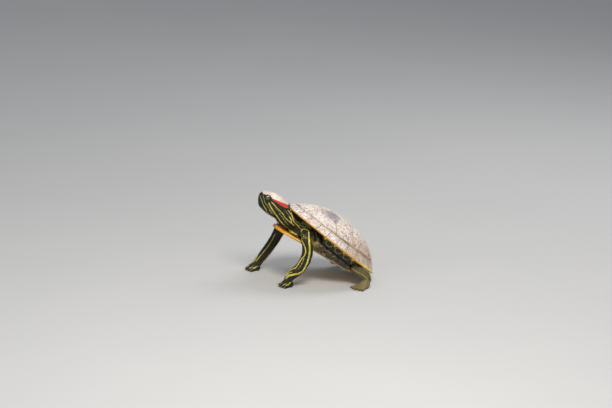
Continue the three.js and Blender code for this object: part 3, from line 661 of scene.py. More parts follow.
# ------------------------------------------------------------------ plastron
PLASTRON_OUTLINE = [               # station and half width
    (PLASTRON_REAR, 9), (-70, 19), (-60, 30), (-44, 36), (-28, 41), (0, 44), (28, 43), (48, 39),
    (64, 33), (75, 26), (PLASTRON_FRONT, 15),
]
PLASTRON_SEAMS = [62, 44, 16, -19, -47]        # stations of the seams across the plastron
FLAT_SHARE = 0.74                  # the rest of its width climbs to the rim as the bridge
NOTCH, NOSE = 4, 2.5               # depth of its rear notch and length of its rounded front
ENDS = 0.1                         # the share of its length that each of those takes


def plastron_depth(station):
    return PLASTRON_DROP + PLASTRON_SLOPE * station + PLASTRON_DIP * max(0, station - 36)


def plastron_half_width(station):
    i = 1
    while i < len(PLASTRON_OUTLINE) - 1 and PLASTRON_OUTLINE[i][0] < station:
        i += 1
    (s0, w0), (s1, w1) = PLASTRON_OUTLINE[i - 1], PLASTRON_OUTLINE[i]
    return mix(w0, w1, smoothstep(station, s0, s1) * 0.35 + 0.65 * clamp((station - s0) / (s1 - s0)))


def outline_side_at(station):
    along = abs(station - WIDEST_AT) / half_length(station)
    return SHELL_HALF_WIDTH * max(0, 1 - along ** OUTLINE_CURVE) ** (1 / OUTLINE_CURVE)


def plastron_point(across, station, upper):
    """A point of the plastron's lower or upper face; across runs from -1 to 1."""
    side = abs(across)
    flat_width = plastron_half_width(station)
    base = -plastron_depth(station) + (PLASTRON_THICK if upper else 0.15)
    x = flat_width * side
    h = base + (-0.25 if upper else 1) * 0.9 * side ** 6
    share = bridge_share(station)
    if share > 0:
        rim = outline_side_at(station)
        meet_x = rim - LIP_INWARD + (-1 if upper else 0)
        meet_h = dome_height(rim, station) - BRIDGE_DROP - 0.3 + (0 if upper else -2.0)
        t = clamp((side - FLAT_SHARE) / (1 - FLAT_SHARE))
        bridged_x, bridged_h = mix(flat_width, meet_x, t), mix(base, meet_h, t ** 1.25)
        if side < FLAT_SHARE:
            bridged_x, bridged_h = flat_width * side / FLAT_SHARE, base
        x, h = mix(x, bridged_x, share), mix(h, bridged_h, share)
    return Vector((math.copysign(x, across), station, h))


def make_plastron():
    bm, layers = grid(96, 88, ["seam", "bridge", "across", "station"])
    for vert in bm.verts:
        t = vert.co.x + 0.5
        place = (vert.co.y + 0.5) * 2
        upper = 1 <= place < 2
        across = 1 - 2 * (place - 1) if upper else 2 * (place % 2) - 1
        across = math.sin(across * math.pi / 2) * 0.35 + across * 0.65
        eased = t - 0.055 * math.sin(2 * math.pi * t)
        station = mix(PLASTRON_REAR + 0.2, PLASTRON_FRONT - 0.2, eased)
        point = plastron_point(across, station, upper)
        notch = NOTCH * (1 - abs(across)) * (1 - t / ENDS) if t < ENDS else 0
        nose = NOSE * (1 - across * across) * (t - (1 - ENDS)) / ENDS if t > 1 - ENDS else 0
        point.y += notch + nose
        wander = 0.9 * math.sin(station * 0.21) + 0.5 * math.sin(station * 0.57)
        bow = 5 * abs(across) ** 1.6
        crosswise = min(abs(station - seam + (bow if seam > 30 else -bow)) for seam in PLASTRON_SEAMS)
        seam = min(abs(point.x - wander), crosswise)
        if not upper:
            point.z += groove(seam) * 0.8 + 0.25 * noise.noise(point * 0.08)
        vert.co = on_shell(*point)
        store(vert, layers, seam=seam, bridge=bridge_share(station), across=abs(across),
              station=station)
    close_tube(bm)
    finish_piece(new_object("plastron_shell", bm), BELLY_HORN, "plastron_horn", "plastron")


# ------------------------------------------------------------------ finishes of the shell
SHADED_SCUTE = on_shell(22, 30, 32)
LOWER_REAR = on_shell(56, -40, 6)
REAR_RIMS = [on_shell(side, -66, -1) for side in (46, -46)]
BLOTCH_CENTRE = (9.8, 8.0)         # of a marginal's underside: from its seam, and in from the rim
BLOTCH_SIZE = (7.2, 5.6)           # half widths of the dark blotch there
BLOTCH_RING = 0.88                 # where the pale ring round the blotch lies, as a share of its size


def make_dry_horn():
    paint = Paint("dry_scute_horn", roughness=0.62)
    patches = paint.noise(34, 4, 0.55)
    clouds = paint.noise(58, 3, 0.5, twist=0.4)
    blots = paint.noise(125, 5, 0.65, twist=0.6)
    flakes = paint.noise(330, 4, 0.65, twist=0.2)
    grain = paint.noise(900, 3, 0.6)
    seam, ring, rim, hem, fan = paint.marks(*SCUTE_MARKS)
    uneven = blots - 0.5
    rays = (fan * 34 + blots * 9 + flakes * 5).maths("SINE")
    rings = (ring * 2.6 + blots * 5).maths("SINE")
    lower = paint.near(LOWER_REAR)
    rearward = lower.step(125, 50)
    broken = (patches + uneven * 0.5).step(0.42, 0.54)
    worn = (clouds + uneven * 0.6).step(0.40, 0.56)
    colour = paint.layers(
        paint.blend(patches.step(0.36, 0.60), (0.70, 0.615, 0.555), (0.83, 0.79, 0.765)),
        (clouds.step(0.55, 0.70) * 0.55, (0.60, 0.585, 0.645)),
        (clouds.step(0.44, 0.30) * 0.42, (0.78, 0.62, 0.53)),
        (flakes.step(0.53, 0.62) * 0.72, (0.93, 0.91, 0.895)),
        (flakes.step(0.48, 0.39) * 0.80, (0.43, 0.315, 0.25)),
        (blots.step(0.55, 0.68) * 0.68, (0.37, 0.26, 0.19)),
        (rays.step(0.62, 1.0) * blots.step(0.42, 0.60) * 0.85, (0.24, 0.14, 0.08)),
        (rings.step(0.5, 1.0) * blots.step(0.62, 0.44) * 0.52, (0.38, 0.26, 0.18)),
        ((paint.near(SHADED_SCUTE) + uneven * 44).step(22, 8) * 0.80, (0.19, 0.175, 0.22)),
        ((hem + uneven * 9).step(3.6, 0.2) * rearward * (broken * 0.65 + 0.25), (0.17, 0.085, 0.038)),
        ((lower + uneven * 110).step(50, 14) * 0.48, (0.38, 0.24, 0.14)),
        (blots.step(0.50, 0.62) * lower.step(62, 28) * 0.62, (0.21, 0.125, 0.070)),
        ((seam + (flakes - 0.5) * 1.1).step(0.75, 0.1) * (rearward * 0.30 + worn * 0.42 + 0.22),
         (0.19, 0.11, 0.065)),
        ((seam + uneven * 6).step(2.6, 0.4) * 0.28, (0.42, 0.27, 0.16)))
    # The edge of the rim, yellower at the rear, and the ringed undersides of the marginals.
    rim = rim + uneven * 1.2
    depth = rim * -1
    along = 20 - ring + uneven * 1.5
    left, right = [paint.near(place).step(50, 22) for place in REAR_RIMS]
    bright = left.maths("MAXIMUM", right)
    edge = paint.blend(bright, (0.76, 0.37, 0.040), (0.86, 0.66, 0.070))
    edge_line = (rim - bright * 0.9).step(0.7, 0.0) * rim.step(-2.6, -1.9)
    x, y = [(place - centre) / half for place, centre, half in
            zip((along, depth), BLOTCH_CENTRE, BLOTCH_SIZE)]
    reach = (x * x + y * y).maths("SQRT") + uneven * 0.45
    loop = (reach - BLOTCH_RING).maths("ABSOLUTE").step(0.10, 0.04) * blots.step(0.34, 0.44)
    # The marginals' underside: a near-black ground that is partly their dark blotches and partly
    # painted shade under the rim, with the pale ring and the orange corner over it.
    under = paint.layers(
        paint.blend(blots.step(0.5, 0.7) * 0.5, (0.012, 0.012, 0.008), (0.05, 0.046, 0.022)),
        (loop * 0.8, (0.42, 0.31, 0.055)),
        ((along + depth * 0.50).step(4.6, 3.8), (0.80, 0.42, 0.03)))
    colour = paint.layers(colour, (edge_line * (flakes.step(0.36, 0.50) * 0.25 + 0.67), edge),
                          (rim.step(-1.8, -2.5), under))
    relief = rings * 0.42 + rays * 0.20 + blots * 0.9 + flakes.step(0.46, 0.58) * 0.35 + grain * 0.35
    return paint.finish(colour, patches.step(0.3, 0.7, 0.58, 0.78) + (grain - 0.5) * 0.12,
                        relief, 0.0004, 0.9)


def make_belly_horn():
    paint = Paint("belly_horn", roughness=0.42)
    blots = paint.noise(60, 4, 0.55, twist=0.8)
    flakes = paint.noise(240, 4, 0.6)
    grain = paint.noise(520, 3)
    lines = paint.noise(1, 3, 0.6, place=paint.stretched((140, 900, 700)))
    waves = paint.noise(1, 4, 0.6, place=paint.stretched((70, 210, 260), (25, 0, 0)), twist=0.6)
    smudge = paint.noise(42, 3, 0.5, twist=1.5)
    seam, bridge, across, station = paint.marks("seam", "bridge", "across", "station")
    station = station + (blots - 0.5) * 10
    side = across + (flakes - 0.5) * 0.05
    spots = smudge.step(0.53, 0.60) * side.step(0.12, 0.2) * side.step(0.62, 0.5)
    # The outer bridge: near black with yellowish waves, partly its own dark markings and partly painted
    # shade under the rim.
    dark = paint.layers(
        paint.blend(blots.step(0.45, 0.7), (0.016, 0.014, 0.010), (0.06, 0.048, 0.022)),
        (waves.step(0.57, 0.62) * 0.8, (0.34, 0.235, 0.055)),
        (station.step(27, 38) * 0.75, (0.36, 0.27, 0.085)))
    keel = side.step(0.54, 0.62) * side.step(0.84, 0.77) * station.step(46, 34)
    band = paint.layers(
        paint.blend(station.step(10, -8), (0.44, 0.31, 0.060), (0.80, 0.46, 0.030)),
        (waves * 0.3, (0.20, 0.13, 0.035)))
    colour = paint.layers(
        paint.blend(blots.step(0.35, 0.65), (0.74, 0.45, 0.060), (0.66, 0.34, 0.045)),
        (station.step(60, 80) * 0.85, (0.80, 0.30, 0.014)),
        (lines.step(0.55, 0.75) * 0.35, (0.40, 0.22, 0.05)),
        (spots * 0.8, (0.045, 0.036, 0.028)),
        # dark markings and painted shade on the outer bridge
        (side.step(0.72, 0.78) * bridge, dark),
        (keel * 0.9, band),
        ((seam + (blots - 0.5) * 0.7).step(0.8, 0.2) * 0.7, (0.20, 0.10, 0.03)))
    return paint.finish(colour, grain.step(0.3, 0.7, 0.34, 0.50),
                        grain * 0.4 + blots * 0.4 - lines.step(0.5, 0.8) * 0.4, 0.0003, 0.8)


DRY_HORN = make_dry_horn()
BELLY_HORN = make_belly_horn()


def make_shell():
    seed = 1
    for number in range(5):
        make_scute(f"vertebral_scute_{number + 1}", f"vertebral_{number + 1}",
                   vertebral_place(number), (0.5, 0.62), seed)
        seed += 1
    for hand, side in ((1, "left"), (-1, "right")):
        for number in range(4):
            make_scute(f"costal_scute_{side}_{number + 1}", f"costal_{side}_{number + 1}",
                       costal_place(number, hand), (0.3, 0.6), seed, 40, 34)
            seed += 1
        for number in range(1, MARGINALS + 1):
            start = marginal_start(number)
            make_marginal(f"marginal_scute_{side}_{number}", f"marginal_{side}_{number}", start,
                          start + MARGINAL_LENGTH, hand, seed, SCALLOP * smoothstep(number, 6, 10))
            seed += 1
    make_marginal("nuchal_scute", "nuchal", -NUCHAL_HALF_WIDTH, NUCHAL_HALF_WIDTH, 1, seed, 0, 12)


# ------------------------------------------------------------------ limbs, neck and tail as lines
# Sections along a line: side, forward, height, half width, half depth. Feet: heel, heading and sizes.
FOREFOOT = {"length": 10, "width": 15, "toe": 7, "claw": 4.5, "fan": 62, "claws": 5}
HINDFOOT = {"length": 18, "width": 17, "toe": 8, "claw": 5, "fan": 50, "claws": 4}
LEGS = {
    "foreleg_left": (1, [
        (26, 42, 76, 6, 6), (37, 50, 79, 8.5, 8.5), (45, 53, 76, 9.5, 10.5), (49, 53, 66, 8, 8.8),
        (50.5, 53, 52, 7, 8.8), (49.5, 56.5, 38, 6.8, 8.8), (47, 64, 27, 6.8, 8.4),
        (44.5, 72.5, 18.5, 6.8, 7.4), (43, 80, 9.5, 6.4, 5.6)],
        dict(FOREFOOT, heel=(44, 74), heading=4)),
    "foreleg_right": (-1, [
        (26, 42, 77, 6, 6), (37, 50, 80, 8.5, 8.5), (44.5, 57, 75, 9.5, 10.5), (48, 63, 62, 8, 9),
        (49, 69, 48, 7, 8.4), (49, 78.5, 33, 6.8, 8.2), (48, 87.5, 21, 6.8, 7.6),
        (46.5, 94.5, 13, 6.6, 6.6), (46, 100.5, 7.5, 6.2, 5)],
        dict(FOREFOOT, heel=(46.5, 95), heading=2)),
    "hindleg_left": (1, [
        (24, -20, 33, 6, 6), (37, -24, 31, 8.5, 9), (48, -31, 26.5, 9.5, 11), (55.5, -38, 20, 8, 9.4),
        (58.5, -42.5, 13, 6.6, 7.4), (60, -40, 7.5, 6, 6), (62, -35, 5, 6, 4)],
        dict(HINDFOOT, heel=(60, -42), heading=27)),
    "hindleg_right": (-1, [
        (24, -20, 33, 6, 6), (37, -26, 30, 8.5, 9), (47, -36, 25, 9.5, 10.5), (54, -46, 18.5, 8, 9),
        (58, -53, 12.5, 6.6, 7.4), (61, -54, 7.5, 6, 6), (66, -51, 5, 6, 4)],
        dict(HINDFOOT, heel=(60.5, -56), heading=62)),
}
TAIL = [(0, -36, 21, 6, 5.4), (-1, -47, 13, 6, 5.4), (-5, -54.5, 7.8, 5, 4.8),
        (-13, -60, 4.2, 3.8, 3.9), (-23, -62.5, 2.1, 2.3, 2.5), (-31, -62, 0.9, 0.9, 1.1)]
# Head and neck from the snout back: the top and bottom of each section (forward, height), half width.
NECK = [
    ((118.2, 128.8), (118.3, 125.2), 1.9), ((117.7, 133.0), (117.4, 120.9), 5.0),
    ((115.2, 136.8), (115.4, 116.2), 7.4), ((110.2, 137.9), (111.8, 111.6), 9.3),
    ((103.6, 137.0), (107.0, 107.0), 11.0), ((96.4, 134.8), (102.4, 102.6), 12.2),
    ((88.6, 131.2), (97.6, 98.4), 12.9), ((81.4, 126.8), (92.6, 95.2), 12.8),
    ((75.6, 122.0), (87.4, 92.0), 12.6), ((71.4, 115.8), (83.4, 88.0), 13.4),
    ((65.4, 110.0), (79.0, 83.0), 15.4), ((56.5, 102.0), (70.0, 77.0), 17.0),
    ((44.0, 88.0), (50.0, 74.0), 11.0),
]
MOUTH = [(121.5, 121.9), (117.0, 119.4), (111.5, 117.4), (106.5, 115.6), (102.5, 113.6)]
NOSTRIL = Vector((1.5, -118.6, 127.6))
EARDRUM = Vector((11.4, -96.5, 120.5))
LIMB_STEPS = 160


class Limb:
    """Rounded sections along a line. A place on it is a section number and a turn in degrees."""

    def __init__(self, sections, hand=1, lean=0.2):
        self.hand = hand
        centres = [own(*section[:3]) for section in sections]
        sizes = [Vector(section[3:]) for section in sections]
        last = len(sections) - 1
        depths = []
        for i in range(last + 1):
            along = centres[min(i + 1, last)] - centres[max(i - 1, 0)]
            depths.append(along.normalized().cross(Vector((1, 0, lean))).normalized())
        self.sections = last
        self.stations = []
        self.tree = kdtree.KDTree(LIMB_STEPS + 1)
        for i in range(LIMB_STEPS + 1):
            t = i / LIMB_STEPS
            centre = spline(centres, t)
            along = (spline(centres, min(t + 0.01, 1)) - spline(centres, max(t - 0.01, 0))).normalized()
            depth = spline(depths, t)
            depth = (depth - along * depth.dot(along)).normalized()
            across = depth.cross(along).normalized()
            self.stations.append((centre, along, across, depth, spline(sizes, t)))
            self.tree.insert(centre, i)
        self.tree.balance()

    def surface(self, section, turn):
        centre, _, across, depth, size = self.stations[round(section / self.sections * LIMB_STEPS)]
        a = math.radians(turn)
        point = centre + across * math.cos(a) * size.x + depth * math.sin(a) * size.y
        return mirrored(point, self.hand)

    def place_of(self, point):
        """The section and turn nearest a point, and the direction of the line there."""
        point = mirrored(point, self.hand)
        _, i, _ = self.tree.find(point)
        centre, along, across, depth, size = self.stations[i]
        offset = point - centre
        turn = math.degrees(math.atan2(offset.dot(depth) / size.y, offset.dot(across) / size.x))
        return i / LIMB_STEPS * self.sections, turn, mirrored(along, self.hand)


LIMBS = {name: Limb(sections, hand) for name, (hand, sections, _) in LEGS.items()}
LIMBS["tail"] = Limb(TAIL)
LIMBS["neck"] = Limb([(0, (top_f + low_f) / 2, (top_h + low_h) / 2, half_width,
                       math.hypot(top_f - low_f, top_h - low_h) / 2)
                      for (top_f, top_h), (low_f, low_h), half_width in NECK], lean=0)


class Foot:
    """The ground plan of a foot: a place on it is so far ahead of the heel and so far sideways."""

    def __init__(self, hand, shape):
        self.shape, self.hand = shape, hand
        self.front = shape["claws"] == 5
        self.turn = math.radians(shape["heading"]) * hand
        self.heel = own(shape["heel"][0] * hand, shape["heel"][1], 0)
        self.ahead = self.aim(0)
        self.sideways = UP.cross(self.ahead)

    def aim(self, angle):
        return own(math.sin(self.turn + angle), math.cos(self.turn + angle), 0)

    def place(self, distance, height, spread=0.0):
        return self.heel + self.ahead * distance + self.sideways * spread + UP * height

    def toes(self):
        """Each toe's root, its direction and its length as far as the claw."""
        length, width, toe, fan = [self.shape[key] for key in ("length", "width", "toe", "fan")]
        for share in (-1, -0.5, 0, 0.5, 1):
            root = self.place(length * (0.7 - 0.1 * abs(share)), 0, width * 0.36 * share)
            yield (root, self.aim(math.radians(fan / 2) * share),
                   length * 0.3 + toe * (1 - 0.28 * abs(share)))

    def clawed_toes(self):
        """The outermost toe of a hind foot has no claw."""
        toes = list(self.toes())
        outermost = 4 if self.hand * self.sideways.x > 0 else 0
        return toes if self.front else toes[:outermost] + toes[outermost + 1:]


FEET = {name: Foot(hand, shape) for name, (hand, _, shape) in LEGS.items()}

# ------------------------------------------------------------------ skin
FLESH = ["trunk", "neck", "head", "lower_jaw", "tail"]
for leg_side in ("left", "right"):
    FLESH += [f"foreleg_{leg_side}_upper", f"foreleg_{leg_side}_lower", f"forefoot_{leg_side}",
              f"hindleg_{leg_side}_thigh", f"hindleg_{leg_side}_shank", f"hindfoot_{leg_side}"]
SWELL = 0.2                        # closes the partings between the flesh nodes
VOXEL = 0.88
HIDDEN_SHARE = 0.62                # of the faces, kept where the shell covers the flesh
HEAD_REAR = 90                     # the finer mesh of the head reaches back to here
RELIEF_REAR = 86                   # and its small shapes to here
FOLDS_FRONT = 100                  # the folds of the neck end here
HIDDEN_REAR, HIDDEN_FRONT, HIDDEN_SIDE, HIDDEN_LOW = -16, 30, 44, 14     # flesh inside the shell
WRIST_REACH = 9.5                  # how far round a front foot's instep the skin is smoothed again
EYE_OUT = Vector((1, 0.06, 0.08)).normalized()
EYE_TILT = math.radians(14)
LID_WIDE, LID_TALL = math.radians(66), math.radians(44)
LID_FROM_EYE = 5.08                # the lids' distance from the eye's centre
OPEN_FROM_EYE = 4.3                # and that of the skin behind the opening, inside the eyeball
LID_REACH = 8                      # skin further than this from the eye's centre stays as it is
SMOOTHING = {"plain": 22, "wrists": 22, "head": 12, "feet": 4}     # rounds of smoothing
SKIN_FLOOR = 0.9                   # skin lower than this is part of a flat sole


def limb_of(node):
    """The name of the limb that a flesh node belongs to."""
    if node in ("head", "lower_jaw", "neck"):
        return "neck"
    kind, _, rest = node.partition("_")
    side = rest.split("_")[0]
    return f"{kind[:4]}leg_{side}" if kind[:4] in ("fore", "hind") else node


def blunt_toes(piece, foot):
    claw = foot.shape["claw"]
    for root, way, reach in foot.toes():
        tip = root + way * (reach + claw) + UP * 0.7
        for vert in piece.verts:
            if (local(vert.co) - tip).length < 1.5:
                vert.co -= way * claw * 0.72 * MM


def fill_wrist(bm, foot):
    """Flesh over the instep, which carries the leg's shape on into the foot."""
    for vert in ball(bm, 24, 16):
        x, y, z = vert.co
        point = foot.place(7.5 + y * 9.5, 6.2 + z * 5.4 - y * 4.0, x * 6.8)
        point.z = max(point.z, 0.8)
        vert.co = world(point)


def fill_chest(bm):
    """Loose skin between the root of the neck and the plastron under it."""
    for vert in ball(bm, 32, 20):
        x, y, z = vert.co
        station = 55.5 + y * 10
        floor = -plastron_depth(station) + PLASTRON_THICK + 0.2
        vert.co = on_shell(x * 23, station, max(-27 + z * 5.2, floor))


def gather_flesh():
    """The flesh nodes as one rough skin, and a tree that tells which node each part came from."""
    bm = bmesh.new()
    corners, faces, names = [], [], []
    for name in FLESH:
        piece = bmesh.new()
        piece.from_mesh(frame["nodes"][name].data)
        bmesh.ops.remove_doubles(piece, verts=piece.verts, dist=0.02 * MM)
        face_outwards(piece)
        piece.normal_update()
        piece.verts.index_update()
        faces += [[vert.index + len(corners) for vert in face.verts] for face in piece.faces]
        names += [name] * len(piece.faces)
        corners += [vert.co.copy() for vert in piece.verts]
        for vert in piece.verts:
            vert.co += vert.normal * SWELL * MM
        if "foot" in name:
            blunt_toes(piece, FEET[limb_of(name)])
        spare = bpy.data.meshes.new("spare")
        piece.to_mesh(spare)
        piece.free()
        bm.from_mesh(spare)
        bpy.data.meshes.remove(spare)
    for foot in FEET.values():
        if foot.front:
            fill_wrist(bm, foot)
    fill_chest(bm)
    for hand in (1, -1):
        centre = Matrix.Translation(world(own(EYE[0] * hand, *EYE[1:])))
        ball(bm, 24, 16, (EYE_RADIUS + 0.4) * MM, centre)
    rough = new_object("rough_skin", bm)
    remesh = rough.modifiers.new("remesh", "REMESH")
    remesh.mode = "VOXEL"
    remesh.voxel_size = VOXEL * MM
    return thin_hidden(settled(rough)), BVHTree.FromPolygons(corners, faces), names


def thin_hidden(mesh):
    """Fewer faces where the shell covers the flesh on all sides."""
    skin = link("rough_skin", mesh)
    group = skin.vertex_groups.new(name="hidden")
    for vert in mesh.vertices:
        point = local(vert.co)
        inside = abs(point.x) < HIDDEN_SIDE and point.z > HIDDEN_LOW
        if inside and HIDDEN_REAR < -point.y < HIDDEN_FRONT:
            group.add([vert.index], 1, "REPLACE")
    thin = skin.modifiers.new("thin", "DECIMATE")
    thin.vertex_group = group.name
    thin.vertex_group_factor = 1000
    thin.ratio = HIDDEN_SHARE
    return settled(skin)


def eye_axes(hand):
    """The eye's centre and its directions outwards, ahead and up."""
    out = mirrored(EYE_OUT, hand)
    ahead = Vector((0, -math.cos(EYE_TILT), math.sin(EYE_TILT)))
    ahead = (ahead - out * ahead.dot(out)).normalized()
    up = out.cross(ahead)
    return own(EYE[0] * hand, *EYE[1:]), out, ahead, up if up.z > 0 else -up


def shape_lids(point, hand, centre, out, ahead, up):
    """Skin over the eyeball opens in an almond; round the opening it lies on the ball as two lids."""
    ray = point - centre
    reach = ray.length
    if reach > LID_REACH or ray.x * hand < -1:
        return point
    x, y, z = ray.dot(ahead), ray.dot(up), max(ray.dot(out), 0.01)
    wide, tall = math.atan2(x, z) / LID_WIDE, math.atan2(y, z) / LID_TALL
    share = math.hypot(wide, tall)           # 1 along the edges of the lids
    goal, move = OPEN_FROM_EYE, 1.0
    if share >= 1.0:
        fold = 0.30 * hump(share - 1.62, 0.11)
        goal = LID_FROM_EYE + 0.32 * hump(share - 1.22, 0.16) - fold
        goal += 0.20 * hump(share - 1.85, 0.12)
        goal = mix(goal, reach - fold, smoothstep(share, 1.7, 2.5))
        if share > 1.2:
            return centre + ray.normalized() * goal
        if share < 1.2:
            move = 1.03 / share
    elif share > 0.8:
        move = 0.99 / share
    wide, tall = wide * move, tall * move
    aim = (out + ahead * math.tan(clamp(wide * LID_WIDE, -1.45, 1.45))
           + up * math.tan(clamp(tall * LID_TALL, -1.45, 1.45))).normalized()
    return centre + aim * goal


def mouth_gap(point):
    """Distance from the line of the mouth, seen from the side."""
    best = 99.0
    place = Vector((-point.y, point.z))
    for a, b in zip(MOUTH, MOUTH[1:]):
        a, b = Vector(a), Vector(b)
        t = clamp((place - a).dot(b - a) / (b - a).length_squared)
        best = min(best, (place - a.lerp(b, t)).length)
    return best


def head_relief(point):
    """Height of the head's small shapes above its plain surface: mouth, nostrils and eardrums."""
    gap = mouth_gap(point)
    nostril = (mirrored(point, hand_of(point)) - NOSTRIL).length
    drum = (mirrored(point, hand_of(point)) - EARDRUM).length
    relief = -0.5 * hump(gap, 0.42) + 0.14 * hump(gap - 1.1, 0.6)
    relief -= 0.6 * hump(nostril, 0.5)
    relief += 0.12 * hump(nostril - 1.1, 0.4)
    relief -= 0.28 * hump(drum - 3.6, 0.7)
    relief -= 0.10 * hump(drum, 2.4)
    return relief + SUNK


def fold_relief(point, name):
    """Loose folds: round the neck, across the joints of the legs, and down the skirts of the trunk."""
    if name == "trunk":
        wave = noise.noise(Vector((point.x * 0.20, point.y * 0.20, point.z * 0.05)))
        fine = noise.noise(Vector((point.x * 0.5, point.y * 0.5, point.z * 0.12 + 9)))
        return 0.8 * wave - 0.75 * hump(wave, 0.07) - 0.35 * hump(fine, 0.08)
    section, turn, _ = LIMBS[name].place_of(point)
    on_neck = name == "neck"
    around = Vector((math.cos(math.radians(turn)), math.sin(math.radians(turn)), 0)) * 0.9
    across = noise.noise(around + Vector((3, 7, section * (1.5 if on_neck else 2.4))))
    longways = noise.noise(around * 3.5 + Vector((11, 2, section * 0.5)))
    loose = smoothstep(section, 5.0, 8.5) if on_neck else 0.7
    return -loose * (0.42 * hump(across, 0.055) + 0.30 * hump(longways, 0.07)) + 0.25 * loose * across


def smooth(bm, verts):
    bmesh.ops.smooth_vert(bm, verts=verts, factor=0.5, use_axis_x=True, use_axis_y=True,
                          use_axis_z=True)


def make_skin_mesh():
    mesh, origin_tree, node_names = gather_flesh()
    bm = bmesh.new()
    bm.from_mesh(mesh)
    bpy.data.meshes.remove(mesh)
    node_layer = bm.verts.layers.int.new("node")
    index_of = {name: i for i, name in enumerate(FLESH)}
    insteps = [foot.place(8, 9.5) for foot in FEET.values() if foot.front]
    parts = {name: [] for name in SMOOTHING}
    for vert in bm.verts:
        node = node_names[origin_tree.find_nearest(vert.co)[2]]
        vert[node_layer] = index_of[node]
        part = "feet" if "foot" in node else "head" if node in ("head", "lower_jaw") else "plain"
        parts[part].append(vert)
        if any((local(vert.co) - place).length < WRIST_REACH for place in insteps):
            parts["wrists"].append(vert)
    for step in range(max(SMOOTHING.values())):
        for part in ("plain", "head", "feet", "wrists"):
            if step < SMOOTHING[part]:
                smooth(bm, parts[part])
    fine = {v for v in parts["head"] if -local(v.co).y > HEAD_REAR}
    edges = [e for e in bm.edges if e.verts[0] in fine and e.verts[1] in fine]
    bmesh.ops.subdivide_edges(bm, edges=edges, cuts=1, use_grid_fill=True)
    split_large(bm)
    face_parts = {index_of["head"], index_of["lower_jaw"]}
    smooth(bm, [v for v in bm.verts if -local(v.co).y > HEAD_REAR and v[node_layer] in face_parts])
    bm.normal_update()
    for vert in bm.verts:
        node = FLESH[vert[node_layer]]
        name = limb_of(node)
        point = local(vert.co)
        shift = head_relief(point) if name == "neck" and -point.y > RELIEF_REAR else 0
        if "foot" not in node and -point.y < FOLDS_FRONT:
            shift += fold_relief(point, name)
        vert.co += vert.normal * shift * MM
    for hand in (1, -1):
        axes = eye_axes(hand)
        for vert in bm.verts:
            if -local(vert.co).y > HEAD_REAR:
                vert.co = world(shape_lids(local(vert.co), hand, *axes))
    for vert in bm.verts:
        if vert.co.z < SKIN_FLOOR * MM:
            vert.co.z = 0
    bm.normal_update()
    return bm, node_layer


# ------------------------------------------------------------------ markings
# Each stripe is its half width and the points that it runs through: (side, forward, height), or
# (section, turn) on a limb. Stripes of the head and neck are the same on both sides.
HEAD_STRIPES = [
    (0.68, [(10.8, 106.1, 122), (11.4, 102.8, 116), (11.8, 98.5, 109.7), (11.1, 94.8, 105.1),
            (9.9, 91.2, 100.9), (9.2, 86.6, 94.9), (10.2, 80.9, 88.8), (9.6, 74.7, 82.7)]),
    (0.58, [(11.2, 101.8, 122.5), (12.3, 97.3, 118.5), (12.8, 92.7, 113.7), (12.5, 87.2, 108.8),
            (12.3, 82.5, 104.3), (13.1, 79.2, 99.1), (14.8, 74.1, 94.3), (15.2, 66, 88)]),
    (0.73, [(11.8, 74.8, 109.8), (12.6, 71.2, 105.6), (13.8, 68.4, 102.1), (16, 66.2, 94.2),
            (16.2, 62.4, 89.9), (16.4, 56.6, 84.5), (22.8, 55.2, 82)]),
    (0.48, [(8, 114.4, 120.5), (8.2, 112.1, 115.7), (8.2, 108.6, 110.8), (6, 105.4, 105.3),
            (5, 99, 99), (4.6, 91, 93)]),
    (0.33, [(10.4, 104.5, 111.5), (10, 102, 107.5), (8.6, 97, 101.5)]),
    (0.63, [(8.3, 84.3, 90.7), (10.3, 79.9, 87.3), (10, 75.4, 83.4), (11.3, 68.2, 80.7)]),
    (0.63, [(13.9, 73.4, 100.9), (15.4, 70.3, 96.6), (16, 68.5, 90.5), (15.4, 63, 85.5)]),
    (0.38, [(12.6, 90, 105.5), (12.4, 84, 100), (12.6, 78, 93), (13.4, 72, 87.5)]),
    (0.48, [(0, 117, 119), (0, 111, 111), (0, 104, 104.5), (1.4, 96, 98), (2.6, 88, 92), (3, 78, 85)]),
    (0.38, [(3.5, 85, 129), (5.5, 79, 125), (7, 73, 119), (9, 68, 113)]),
]
FORELEG_STRIPES = [
    (1.5, [(2.3, 2), (3.0, 1), (3.7, -6), (4.2, -6), (4.9, -14), (5.6, -29), (6.2, -22), (6.7, 3),
            (7.4, 42), (7.9, 50)]),
    (0.9, [(2.6, 77), (3.2, 48), (3.7, 37), (4.2, 46), (4.5, 62), (5.3, 66), (6.0, 53), (6.6, 80),
            (7.1, 88), (7.8, 84)]),
    (0.5, [(4.3, 39), (5.1, 33), (6.0, 17)]),
    (0.65, [(6.7, 38), (7.2, 66), (7.8, 68)]),
    (0.45, [(4.2, -35), (4.8, -83), (5.4, -95), (6.4, -80)]),
    (0.6, [(3.2, -120), (4.4, -135), (5.6, -150), (7, -140)]),
    (0.5, [(3.4, 130), (4.6, 135), (6, 125), (7.4, 120)]),
]
HINDLEG_STRIPES = [
    (0.9, [(1.6, 40), (2.4, 35), (3.2, 20), (4, 10), (5, 20)]),
    (0.7, [(1.6, 90), (2.4, 95), (3.2, 80), (4.2, 70)]),
    (0.7, [(1.6, -20), (2.4, -30), (3.2, -45), (4.2, -50)]),
    (0.6, [(2, -90), (3, -95), (4.2, -100)]),
    (0.6, [(2, 150), (3, 145), (4.2, 150)]),
]
